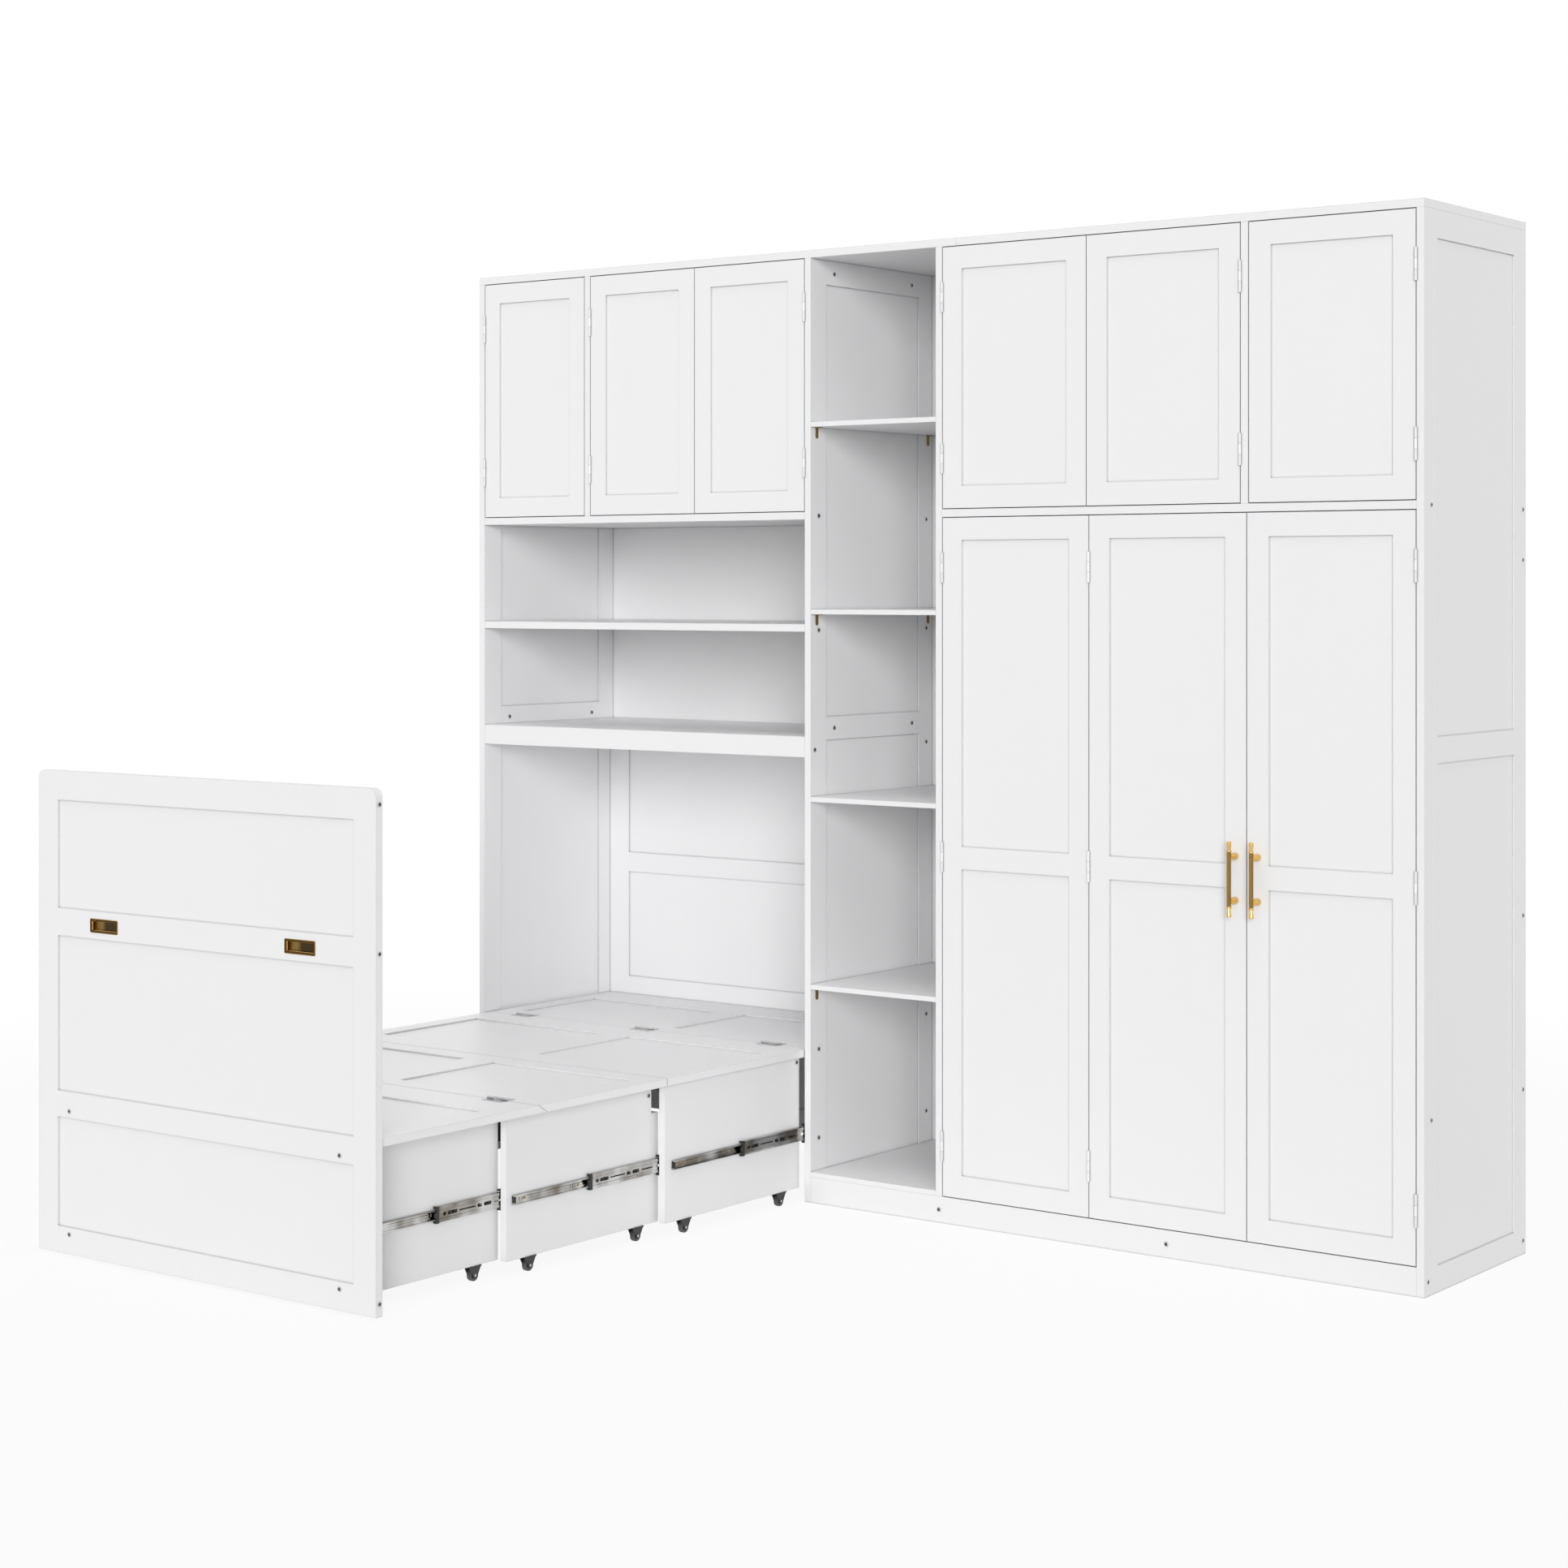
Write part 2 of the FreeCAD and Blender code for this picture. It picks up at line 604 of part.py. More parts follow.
def slides():
    play = size.side_play
    stages = [(0, front + size.slide_inset, slide_length, first_travel),
              (1, first_y + size.slide_inset, slide_length, second_travel),
              (2, second_y + size.slide_inset, size.slide_length_third, third_travel)]
    outers, middles, inners = [], [], []
    bolt_y = (first_rear - size.cross_rail / 2, second_rear - size.notch_depth - size.cross_rail / 2)
    bolt_z = (section_top - size.rail_bolt_drop, section_top - size.cross_rail_drop - size.rail_bolt_drop)
    head, radius = size.bolt_head, size.bolt_radius
    rail_bolts = [[rod("rail_bolt", radius, head, x, bolt_y[order], bolt_z[order], turn_to_x)
                   for x in (side_x(order) - head, mirrored(side_x(order), zero))]
                  for order in (0, 1)]
    for order, y, length, travel in stages:
        outers.append(channel_pair("outer_member", zero, size.outer_depth, size.outer_half, True,
                                   order, y, length))
        middles.append(channel_pair("middle_member", size.middle_start, size.middle_end, size.middle_half,
                                    True, order, y - travel / 2, length))
        inners.append(channel_pair("inner_member", size.inner_start, play, size.inner_half, False,
                                   order, y - travel, length))
    node("cabinet_slide_members", group("slide_set_0", outers[0]), "cabinet")
    node("section_1_slide_members", group("slide_set_1", inners[0] + outers[1] + rail_bolts[0]), "section_1")
    node("section_2_slide_members", group("slide_set_2", inners[1] + outers[2] + rail_bolts[1]), "section_2")
    node("section_3_slide_members", group("slide_set_3", inners[2]), "section_3")
    for step, pair in enumerate(middles, start=1):
        node(f"slide_{step}_middle_members", group(f"slide_middle_{step}", pair), f"slide_{step}_middle")


def caster_fork(x_middle, y):
    top = size.section_foot
    wide, long, thick = size.plate_width, size.plate_length, size.plate_thick
    plate = box("caster_plate", x_middle - wide / 2, y - long / 2, top - thick, wide, long, thick)
    gap = size.wheel_width / 2 + size.cheek_gap
    low = size.wheel_radius
    foot = (long - size.cheek_foot) / 2
    outline = [(foot, low), (foot + size.cheek_foot, low), (long, top - thick), (zero, top - thick)]
    cheeks = [slab("caster_cheek", "YZ_Plane", [outline], size.cheek, x, y - long / 2, zero)
              for x in (x_middle - gap - size.cheek / 2, x_middle + gap + size.cheek / 2)]
    cheeks += [rod("cheek_round", size.cheek_foot / 2, size.cheek, x, y, low, turn_to_x)
               for x in (x_middle - gap - size.cheek, x_middle + gap)]
    reach = gap + size.cheek
    axle = rod("caster_axle", size.axle_radius, reach * 2, x_middle - reach, y, size.wheel_radius, turn_to_x)
    return fuse("caster", [plate] + cheeks + [axle])


def caster_wheel(x_middle, y):
    half = size.wheel_width / 2
    over = size.overrun
    tyre = rod("wheel_disc", size.wheel_radius, size.wheel_width, x_middle - half, y, size.wheel_radius,
               turn_to_x)
    bore = rod("wheel_bore", size.axle_radius + size.wheel_play, size.wheel_width + over * 2,
               x_middle - half - over, y, size.wheel_radius, turn_to_x)
    return cut("wheel", tyre, bore)


def casters():
    ahead, behind = size.caster_front_inset, size.caster_rear_inset
    rows = [(1, 0, [("front", first_y + ahead), ("rear", first_rear - behind)]),
            (2, 1, [("front", second_y + ahead), ("rear", second_rear - behind)]),
            (3, 2, [("rear", third_rear - size.caster_rear_inset)])]
    for number, order, places in rows:
        middle = side_x(order) + size.section_board / 2
        centres = (middle, mirrored(middle, zero))
        forks = [caster_fork(x, y) for _, y in places for x in centres]
        node(f"section_{number}_caster_forks", group(f"fork_set_{number}", forks), f"section_{number}")
        for where, y in places:
            wheels = [caster_wheel(x, y) for x in centres]
            name = f"section_{number}_{where}_wheels"
            node(name, group(name + "_set", wheels), name)


same_place = 0.001  # two places this close, in millimetres, count as one


def footboard():
    foot = size.footboard_foot
    wide = footboard_width
    high = size.footboard_top - foot
    side = size.footboard_stile
    windows = [(side, low - foot, wide - side, top - foot)
               for low, top in ((size.foot_low, size.foot_third_low),
                                (size.foot_third_high, size.foot_second_low),
                                (size.foot_second_high, size.footboard_top - size.footboard_stile))]
    x = bay_middle - wide / 2
    y = footboard_front + size.footboard / 2
    panel = framed("footboard_panel", "XZ_Plane", wide, high, size.footboard, size.web, windows, x, y, foot)
    document.recompute()
    last = panel.Tip
    limit = last.Shape.BoundBox
    corners = []
    for number, edge in enumerate(last.Shape.Edges, start=1):
        middle = edge.BoundBox.Center
        at_top = abs(middle.z - limit.ZMax) < same_place
        at_side = min(abs(middle.x - limit.XMin), abs(middle.x - limit.XMax)) < same_place
        if at_top and at_side and edge.BoundBox.YLength > same_place:
            corners.append(f"Edge{number}")
    rounded = panel.newObject("PartDesign::Fillet", "rounded_corners")
    rounded.Base = (last, corners)
    rounded.setExpression("Radius", text_of(size.foot_corner))
    panel.Tip = rounded
    pulls, holes = [], []
    for step in (-1, 1):
        middle = bay_middle + footboard_width * size.pull_share * step
        pulls.append(flush_pull(middle))
        holes.append(pull_hole(middle, size.pull_width - size.pull_rim * 2,
                               size.pull_height - size.pull_rim * 2, footboard_front - size.overrun,
                               size.overrun + size.pull_cup_depth))
    node("footboard", cut("footboard_cut", panel, group("pull_holes", holes)), "section_3")
    node("footboard_pulls", group("pulls", pulls), "section_3")


def pull_hole(middle, wide, high, y, deep):
    return box("pull_hole", middle - wide / 2, y, size.pull_height_centre - high / 2, wide, deep, high)


def flush_pull(middle):
    """A flush plate with a cup that a finger hooks into."""
    wide, high, rim = size.pull_width, size.pull_height, size.pull_rim
    wall = size.pull_wall
    lip = pull_hole(middle, wide, high, footboard_front - size.pull_lip, size.pull_lip)
    cup = pull_hole(middle, wide - rim * 2, high - rim * 2, footboard_front - size.pull_lip,
                    size.pull_lip + size.pull_cup_depth)
    inside = (rim + wall) * 2
    hollow = pull_hole(middle, wide - inside, high - inside, footboard_front - size.overrun,
                       size.overrun + size.pull_cup_depth - wall)
    return cut("flush_pull", fuse("pull_solid", [lip, cup]), hollow)


# Deck boards, hinged across the bed in three rows.

deck_left = bay_middle - deck_width / 2
fold_1 = front + size.first_fold
fold_2 = front - size.second_fold
fold_3 = front - size.third_fold
fold_4 = footboard_back + size.fold_axis_rise
top_axis = size.deck_top + size.fold_axis_rise
under_axis = deck_under - size.fold_axis_rise
deck_middle_height = size.deck_top - size.deck_board / 2


def deck_panel(name, low_y, high_y, rail_low, rail_high):
    """A deck board between two Y places, with two sunk panels. The rails run across at each end."""
    wide = deck_width
    deep = high_y - low_y
    middle_left = (wide - size.deck_middle) / 2
    middle_right = (wide + size.deck_middle) / 2
    windows = [(size.deck_stile, rail_low, middle_left, deep - rail_high),
               (middle_right, rail_low, wide - size.deck_stile, deep - rail_high)]
    return framed(name, "XY_Plane", wide, deep, size.deck_board, size.deck_web, windows, deck_left, low_y,
                  deck_middle_height)


def wedge(name, y_low, points):
    """A cutter across the whole deck, with an outline in Y and Z whose origin is at y_low under the board."""
    over = size.overrun
    return slab(name, "YZ_Plane", [points], deck_width + over * 2, bay_middle, y_low, deck_under - over)


flush_leaf_y = fold_3 - size.deck_leaf_gap - size.deck_leaf_width


def deck():
    gap = size.deck_gap
    over = size.overrun
    bevel = size.seam_bevel
    thick = size.deck_board
    half_seam = size.seam_gap / 2
    node("deck_board_1", deck_panel("deck_1", fold_1 + gap, back - size.board - gap, size.first_rail_front,
                                    size.first_rail_back), "cabinet")
    node("deck_board_2", deck_panel("deck_2", fold_2 + gap, fold_1 - gap, size.second_rail_front,
                                    size.second_rail_back), "board_2")
    # Boards 3 and 4 meet on a slope, so that board 3 lifts clear while board 4 moves in under it.
    slope = bevel / thick
    reach = bevel + slope * over
    third_front = fold_3 + half_seam
    third = deck_panel("deck_3", third_front, fold_2 - gap, size.third_rail_front, size.third_rail_back)
    under = wedge("third_wedge", third_front - over,
                  [(zero, zero), (over + reach, zero), (over, thick + over), (zero, thick + over)])
    node("deck_board_3", cut("deck_3_cut", third, under), "board_3")
    fourth_back = fold_3 - half_seam + bevel
    fourth = deck_panel("deck_4", footboard_back + size.deck_end_gap, fourth_back, size.fourth_rail_front,
                        size.fourth_rail_back + bevel)
    above_low = fourth_back - bevel - slope * over
    slant = slope * over * 2 + bevel
    above = wedge("fourth_wedge", above_low,
                  [(slant, zero), (slant + over, zero), (slant + over, thick + over * 2), (zero, thick + over * 2)])
    leaf_pockets = [box("leaf_pocket", x - size.deck_hinge_length / 2, flush_leaf_y,
                        size.deck_top - size.deck_leaf, size.deck_hinge_length, size.deck_leaf_width,
                        size.deck_leaf + over) for x in hinge_places()]
    node("deck_board_4", cut("deck_4_cut", fourth, group("deck_4_tools", [above] + leaf_pockets)), "board_4")
    cleat_y = front + size.cleat_front
    cleats = [box("cleat", x, cleat_y, deck_under - size.cleat_height, size.cleat_width,
                  back - size.board - cleat_y, size.cleat_height)
              for x in (bay_left, mirrored(bay_left, size.cleat_width))]
    node("deck_cleats", group("cleats", cleats), "cabinet")


def hinge_places():
    return [bay_middle + deck_width * size.deck_hinge_share * step for step in (-1, 0, 1)]


def deck_leaf(x, fold, behind, on_top, middle, pinned):
    """One leaf of a deck hinge, behind or in front of its fold, with the middle knuckle or the outer two."""
    long = size.deck_hinge_length
    third = long / 3
    gap = size.knuckle_gap
    metal = size.deck_leaf
    start = x - long / 2
    plate_z = size.deck_top if on_top else deck_under - metal
    axis_z = top_axis if on_top else under_axis
    wide = size.deck_leaf_width
    reach = size.deck_leaf_gap
    plate_y = fold + reach if behind else fold - reach - wide
    tab_y = fold if behind else fold - reach
    parts = [box("deck_leaf_plate", start, plate_y, plate_z, long, wide, metal)]
    spans = [(start + third + gap / 2, third - gap)] if middle else \
            [(start, third - gap / 2), (start + third * 2 + gap / 2, third - gap / 2)]
    for span_x, span in spans:
        parts.append(rod("deck_knuckle", size.deck_knuckle_radius, span, span_x, fold, axis_z, turn_to_x))
        parts.append(box("deck_tab", span_x, tab_y, plate_z, span, reach, metal))
    if pinned:
        parts.append(rod("deck_pin", size.deck_pin_radius, long, start, fold, axis_z, turn_to_x))
    leaf = fuse("deck_leaf", parts)
    if pinned:
        return leaf
    over = size.overrun
    bore = rod("deck_bore", size.deck_pin_radius + size.pin_play, long + over * 2, start - over, fold, axis_z,
               turn_to_x)
    return cut("deck_leaf_bored", leaf, bore)


def footboard_leaf(x):
    """The leaf that hangs down between the footboard and the deck's end, with the outer two knuckles."""
    long = size.deck_hinge_length
    third = long / 3
    gap = size.knuckle_gap
    start = x - long / 2
    plate_top = top_axis - size.deck_leaf_gap
    plate_foot = section_top + size.seat
    metal = size.deck_leaf
    parts = [box("foot_leaf_plate", start, footboard_back, plate_foot, long, metal, plate_top - plate_foot)]
    for span_x, span in ((start, third - gap / 2), (start + third * 2 + gap / 2, third - gap / 2)):
        parts.append(rod("foot_knuckle", size.deck_knuckle_radius, span, span_x, fold_4, top_axis, turn_to_x))
        parts.append(box("foot_tab", span_x, footboard_back, plate_top, span, metal, size.deck_leaf_gap))
    parts.append(rod("foot_pin", size.deck_pin_radius, long, start, fold_4, top_axis, turn_to_x))
    return fuse("foot_leaf", parts)


def deck_hinges():
    places = hinge_places()
    leaves = [deck_leaf(x, fold_1, True, True, False, True) for x in places]
    node("deck_hinge_leaves_1", group("leaves_1", leaves), "cabinet")
    second = [deck_leaf(x, fold_1, False, True, True, False) for x in places]
    second += [deck_leaf(x, fold_2, True, False, False, True) for x in places]
    node("deck_hinge_leaves_2", group("leaves_2", second), "board_2")
    third = [deck_leaf(x, fold_2, False, False, True, False) for x in places]
    third += [deck_leaf(x, fold_3, True, True, False, True) for x in places]
    node("deck_hinge_leaves_3", group("leaves_3", third), "board_3")
    flush = [box("flush_leaf", x - size.deck_hinge_length / 2, flush_leaf_y, size.deck_top - size.deck_leaf,
                 size.deck_hinge_length, size.deck_leaf_width, size.deck_leaf)
             for x in places]
    flush += [deck_leaf(x, fold_4, True, True, True, False) for x in places]
    node("deck_hinge_leaves_4", group("leaves_4", flush), "board_4")


# Bolt heads that show on the carcass and the footboard.


def bolts():
    head = size.bolt_head
    radius = size.bolt_radius
    stile_front = size.post_stile / 2
    stile_back = size.cabinet_depth - size.post_stile / 4
    shelf_z = cupboard_floor + size.board / 2
    rail_z = post_middle_low + size.post_middle_rail / 2
    plinth_z = size.plinth_height / 2
    floor_z = size.deck_top
    outside = [(stile_front, shelf_z), (stile_back, shelf_z), (stile_back, shelf_z - size.side_bolt_drop),
               (stile_back, (rail_z + floor_z) / 2), (stile_front, floor_z), (stile_back, floor_z),
               (stile_front / 2, plinth_z), (stile_back, plinth_z)]
    inset = size.post_stile / 2
    low_top = (floor_z - size.plinth_height) / 2
    tower_bolt_z = tower_level(3) - size.tower_bolt_drop
    inner_back_y = size.cabinet_depth - inset
    frame_front, frame_back = stile_front * 3, size.cabinet_depth - stile_front * 3
    top_z = under_top - stile_front
    headboard_z = size.headboard_top - inset
    inside = [(frame_front, rail_z), (frame_back, rail_z), (frame_front, top_z), (frame_back, top_z),
              (inset, shelf_z), (inner_back_y, shelf_z), (inset, tower_bolt_z), (inner_back_y, tower_bolt_z),
              (inset / 2, headboard_z), (inner_back_y, headboard_z), (inner_back_y, floor_z + inset),
              (inset, floor_z), (inner_back_y, low_top), (inset, low_top)]
    cabinet = []
    for depth_in, z in outside:
        cabinet.append(rod("side_bolt", radius, head, right, front + depth_in, z, turn_to_x))
        cabinet.append(rod("side_bolt", radius, head, left - head, front + depth_in, z, turn_to_x))
    for depth_in, z in inside:
        cabinet.append(rod("tower_bolt", radius, head, tower_left, front + depth_in, z, turn_to_x))
    for depth_in, z in inside[:2]:
        cabinet.append(rod("bay_bolt", radius, head, bay_left, front + depth_in, z, turn_to_x))
    for x in (tower_right + size.board / 2, (wardrobe_left + wardrobe_right) / 2):
        cabinet.append(rod("plinth_bolt", radius, head, x, front - head, plinth_z, turn_to_y))
    node("cabinet_bolts", group("cabinet_bolt_set", cabinet), "cabinet")
    foot = []
    spread = footboard_width / 2 - size.foot_bolt_inset
    for step in (-1, 1):
        for z in (size.foot_third_low + size.foot_bolt_rise, size.foot_low - size.foot_bolt_rise):
            foot.append(rod("foot_bolt", radius, head, bay_middle + spread * step, footboard_front - head, z,
                            turn_to_y))
    edge = bay_middle + footboard_width / 2
    for z in (size.footboard_top - size.footboard_stile / 2,
              (size.foot_second_low + size.foot_second_high) / 2,
              size.foot_low - size.footboard_stile / 2):
        for x in (edge, mirrored(edge, head)):
            foot.append(rod("edge_bolt", radius, head, x, footboard_front + size.footboard / 2, z, turn_to_x))
    foot += [footboard_leaf(x) for x in hinge_places()]
    node("footboard_fixings", group("footboard_fixing_set", foot), "section_3")


carcass()
backs()
shelves()
hanging_rail()
doors()
sections()
slides()
casters()
footboard()
deck()
deck_hinges()
bolts()
document.recompute()

for item in document.Objects:
    if "Invalid" in item.State or "Error" in item.State:
        raise RuntimeError(f"{item.Name} ({item.Label}) failed: {item.State}")

os.makedirs("parts", exist_ok=True)
for name, (item, body) in nodes.items():
    shape = item.Shape
    if shape.isNull() or not shape.isValid():
        raise RuntimeError(f"{name} has no valid shape")
    shape.exportStep(f"parts/{name}.step")
print(f"{len(nodes)} pieces written")
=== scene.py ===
import bpy, bmesh, json, math
from mathutils import Vector, Matrix

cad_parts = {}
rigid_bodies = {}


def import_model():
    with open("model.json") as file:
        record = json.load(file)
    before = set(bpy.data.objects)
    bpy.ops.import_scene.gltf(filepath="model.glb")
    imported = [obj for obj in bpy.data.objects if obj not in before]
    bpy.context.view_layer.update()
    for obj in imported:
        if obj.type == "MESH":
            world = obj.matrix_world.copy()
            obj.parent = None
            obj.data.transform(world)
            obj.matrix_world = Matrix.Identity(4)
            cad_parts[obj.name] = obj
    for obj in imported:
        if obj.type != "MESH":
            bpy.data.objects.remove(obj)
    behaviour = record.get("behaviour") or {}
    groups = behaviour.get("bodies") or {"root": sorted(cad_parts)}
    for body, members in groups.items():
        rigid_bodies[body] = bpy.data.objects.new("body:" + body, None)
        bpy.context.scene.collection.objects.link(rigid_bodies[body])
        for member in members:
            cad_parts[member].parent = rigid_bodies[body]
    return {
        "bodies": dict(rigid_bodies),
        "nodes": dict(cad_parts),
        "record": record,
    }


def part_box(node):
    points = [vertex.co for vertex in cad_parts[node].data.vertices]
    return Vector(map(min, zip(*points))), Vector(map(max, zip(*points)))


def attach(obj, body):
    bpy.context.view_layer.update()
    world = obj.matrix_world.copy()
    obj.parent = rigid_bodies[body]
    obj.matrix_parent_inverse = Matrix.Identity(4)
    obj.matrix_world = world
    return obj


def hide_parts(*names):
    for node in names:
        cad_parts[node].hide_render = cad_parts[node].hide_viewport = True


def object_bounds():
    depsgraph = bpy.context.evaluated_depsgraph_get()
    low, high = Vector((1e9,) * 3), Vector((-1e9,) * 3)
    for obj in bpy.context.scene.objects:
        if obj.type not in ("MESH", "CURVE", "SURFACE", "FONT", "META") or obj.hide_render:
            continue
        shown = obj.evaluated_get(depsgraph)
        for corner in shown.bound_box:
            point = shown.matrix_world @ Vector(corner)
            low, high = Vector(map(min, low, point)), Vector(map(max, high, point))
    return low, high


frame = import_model()
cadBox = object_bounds()
print("frame loaded:", len(frame["nodes"]), "nodes")

mm = 0.001

# What a user would change first: the two white finishes, and the fine lines of painted shade in the paint,
# darker where surfaces stand close and along outer edges.
paint = {"colour": (0.875, 0.875, 0.88), "tint": (0.85, 0.85, 0.86), "roughness": 0.36, "peel": 0.03}
enamel = {"colour": (0.78, 0.78, 0.785), "tint": (0.74, 0.74, 0.75), "roughness": 0.28, "peel": 0.02}
# Painted shade: the first line darkens the paint where other surfaces stand close, in creases, recesses and
# gaps; the second darkens it along outer edges.
paintedCreaseShade = {"colour": (0.36, 0.36, 0.37), "width": 5.0 * mm, "depth": 1.4, "samples": 6, "inside": False}
paintedEdgeShade = {"colour": (0.62, 0.62, 0.63), "width": 1.8 * mm, "depth": 1.6, "samples": 4, "inside": True}
shadeLineFloor = 0.1   # the faintest part of a painted shade line is dropped, so that flat places stay clean


# Node helpers

# A socket that adds its own Math nodes when it is used in an expression.
class Wire:
    def __init__(self, net, socket):
        self.net, self.socket = net, socket

    def maths(self, operation, *others):
        return self.net.add("ShaderNodeMath", {"operation": operation}, dict(enumerate((self,) + others)))

    def beside(self, output):   # another output of the same node
        return Wire(self.net, self.socket.node.outputs[output])

    def __add__(self, other):
        return self.maths("ADD", other)

    __radd__ = __add__

    def __sub__(self, other):
        return self.maths("SUBTRACT", other)

    def __rsub__(self, other):
        return self.net.add("ShaderNodeMath", {"operation": "SUBTRACT"}, {0: other, 1: self})

    def __mul__(self, other):
        return self.maths("MULTIPLY", other)

    __rmul__ = __mul__


# One node tree, of a material, the world or a geometry group.
class Net:
    def __init__(self, tree):
        self.tree = tree
        self.tree.nodes.clear()

    # Settings come first, then the values or links of the sockets. A list feeds a socket that takes several.
    def add(self, kind, settings=None, inputs=None, output=0):
        node = self.tree.nodes.new(kind)
        for key, value in (settings or {}).items():
            if key == "stops":
                ramp = node.color_ramp
                while len(ramp.elements) < len(value):
                    ramp.elements.new(0.5)
                for element, (place, colour) in zip(ramp.elements, value):
                    element.position = place
                    element.color = (*colour, 1)
            else:
                setattr(node, key, value)
        for key, value in (inputs or {}).items():
            for each in value if isinstance(value, list) else [value]:
                self.feed(node.inputs[key], each)
        return Wire(self, node.outputs[output]) if node.outputs else None

    def feed(self, socket, value):
        if isinstance(value, Wire):
            self.tree.links.new(value.socket, socket)
        elif hasattr(socket.default_value, "__len__") and len(socket.default_value) == 4 and len(value) == 3:
            socket.default_value = (*value, 1)
        else:
            socket.default_value = value

    def place(self):
        return self.add("ShaderNodeTexCoord", output=3)

    # How far across the piece's own map; beside("Y") is how far up it.
    def across(self, mapName):
        return self.add("ShaderNodeSeparateXYZ", {}, {0: self.add("ShaderNodeUVMap", {"uv_map": mapName})})

    def stretched(self, source, scale):
        return self.add("ShaderNodeMapping", {}, {"Vector": source, "Scale": scale})

    def noise(self, source, scale, detail, rough):
        return self.add("ShaderNodeTexNoise", {},
                        {"Vector": source, "Scale": scale, "Detail": detail, "Roughness": rough})

    def mix(self, amount, first, second):
        return self.add("ShaderNodeMix", {"data_type": "RGBA", "blend_type": "MIX", "clamp_factor": True},
                        {0: amount, 6: first, 7: second}, output=2)

    def bump(self, height, strength, distance):
        return self.add("ShaderNodeBump", {}, {"Height": height, "Strength": strength, "Distance": distance})

    # One for a ray that shows the stage itself, straight, mirrored or through glass, and zero for light.
    def seen(self):
        path = self.add("ShaderNodeLightPath")
        mirrored = path.beside("Is Camera Ray").maths("MAXIMUM", path.beside("Is Glossy Ray"))
        return mirrored.maths("MAXIMUM", path.beside("Is Transmission Ray"))

    def finish(self, **inputs):
        named = {key.replace("_", " "): value for key, value in inputs.items()}
        shader = self.add("ShaderNodeBsdfPrincipled", {}, named)
        self.add("ShaderNodeOutputMaterial", {}, {"Surface": shader})


def newMaterial(name):
    material = bpy.data.materials.new(name)
    material.use_nodes = True
    return material, Net(material.node_tree)


# Fine lines of painted shade where painted boards meet, or along their outer edges when the search runs
# inside them.
def paintShadeLines(net, shade, line):
    clear = net.add("ShaderNodeAmbientOcclusion", {"samples": line["samples"], "inside": line["inside"]},
                    {"Distance": line["width"]}, output=1)
    return net.mix((1 - clear) * line["depth"] - shadeLineFloor, shade, line["colour"])


# Sprayed white paint: a trace of unevenness in colour, a fine orange peel, a soft sheen, and painted shade in
# creases and along outer edges.
def satinWhite(name, look):
    material, net = newMaterial(name)
    place = net.place()
    cloud = net.noise(place, 2.3, 3.0, 0.55)
    fine = net.noise(place, 260.0, 2.0, 0.6)
    streak = net.noise(net.stretched(place, (1.0, 1.0, 0.12)), 24.0, 4.0, 0.6)
    shade = net.mix(cloud * 0.6 + streak * 0.3, look["colour"], look["tint"])
    # painted shade in creases and gaps, then painted shade along outer edges
    shade = paintShadeLines(net, shade, paintedCreaseShade)
    shade = paintShadeLines(net, shade, paintedEdgeShade)
    gloss = look["roughness"] + (streak - 0.5) * 0.08 + (fine - 0.5) * 0.05
    net.finish(Base_Color=shade, Roughness=gloss, Specular_IOR_Level=0.42,
               Normal=net.bump(fine + streak * 0.4, look["peel"], 0.4 * mm))
    return material


# Rolled and plated steel with fine drawn lines and darker bands of painted reflection along it, standing in
# for what the plating mirrors.
def platedSteel(name, colour, paintedReflectionTone, roughness, along, stretch=60.0):
    material, net = newMaterial(name)
    place = net.place()
    scale = tuple(1.5 if axis == along else stretch for axis in "XYZ")
    lines = net.noise(net.stretched(place, scale), 14.0, 4.0, 0.6)
    middle = tuple((a + b) / 2 for a, b in zip(colour, paintedReflectionTone))
    shade = net.add("ShaderNodeValToRGB", {"stops": ((0.4, paintedReflectionTone), (0.5, middle), (0.6, colour))},
                    {"Fac": net.noise(place, 11.0, 2.0, 0.5)})
    shade = net.mix(lines * 0.5, shade, tuple(0.55 * v for v in colour))
    net.finish(Base_Color=shade, Metallic=1.0, Roughness=roughness + (lines - 0.5) * 0.25,
               Normal=net.bump(lines, 0.12, 0.3 * mm))
    return material


def castPlastic(name, colour, lighter, roughness):
    material, net = newMaterial(name)
    place = net.place()
    grain = net.noise(place, 420.0, 3.0, 0.6)
    flow = net.noise(place, 30.0, 3.0, 0.5)
    net.finish(Base_Color=net.mix(flow, colour, lighter), Roughness=roughness + (grain - 0.5) * 0.15,
               Normal=net.bump(grain, 0.15, 0.3 * mm))
    return material


def polishedBrass(name, colour, deep, roughness):
    material, net = newMaterial(name)
    place = net.place()
    haze = net.noise(place, 60.0, 4.0, 0.6)
    fine = net.noise(net.stretched(place, (1.0, 1.0, 6.0)), 300.0, 2.0, 0.5)
    net.finish(Base_Color=net.mix(haze, colour, deep), Metallic=1.0, Roughness=roughness + haze * 0.1,
               Normal=net.bump(fine, 0.05, 0.2 * mm))
    return material


# Dark brass, painted lighter and gilded towards the left of each piece's own map: painted light on the lit
# side of the cup's bottom and painted shade on the other.
def brassWithPaintedLight(name, paintedLitTone, dark, roughness):
    material, net = newMaterial(name)
    paintedLightSide = net.add("ShaderNodeMapRange", {"interpolation_type": "SMOOTHSTEP"},
                   {"Value": net.across("across"), "From Min": 0.48, "From Max": 0.3})
    haze = net.noise(net.place(), 160.0, 4.0, 0.6)
    net.finish(Base_Color=net.mix(paintedLightSide * (haze * 0.7 + 0.45), dark, paintedLitTone), Metallic=1.0,
               Roughness=roughness + haze * 0.12)
    return material
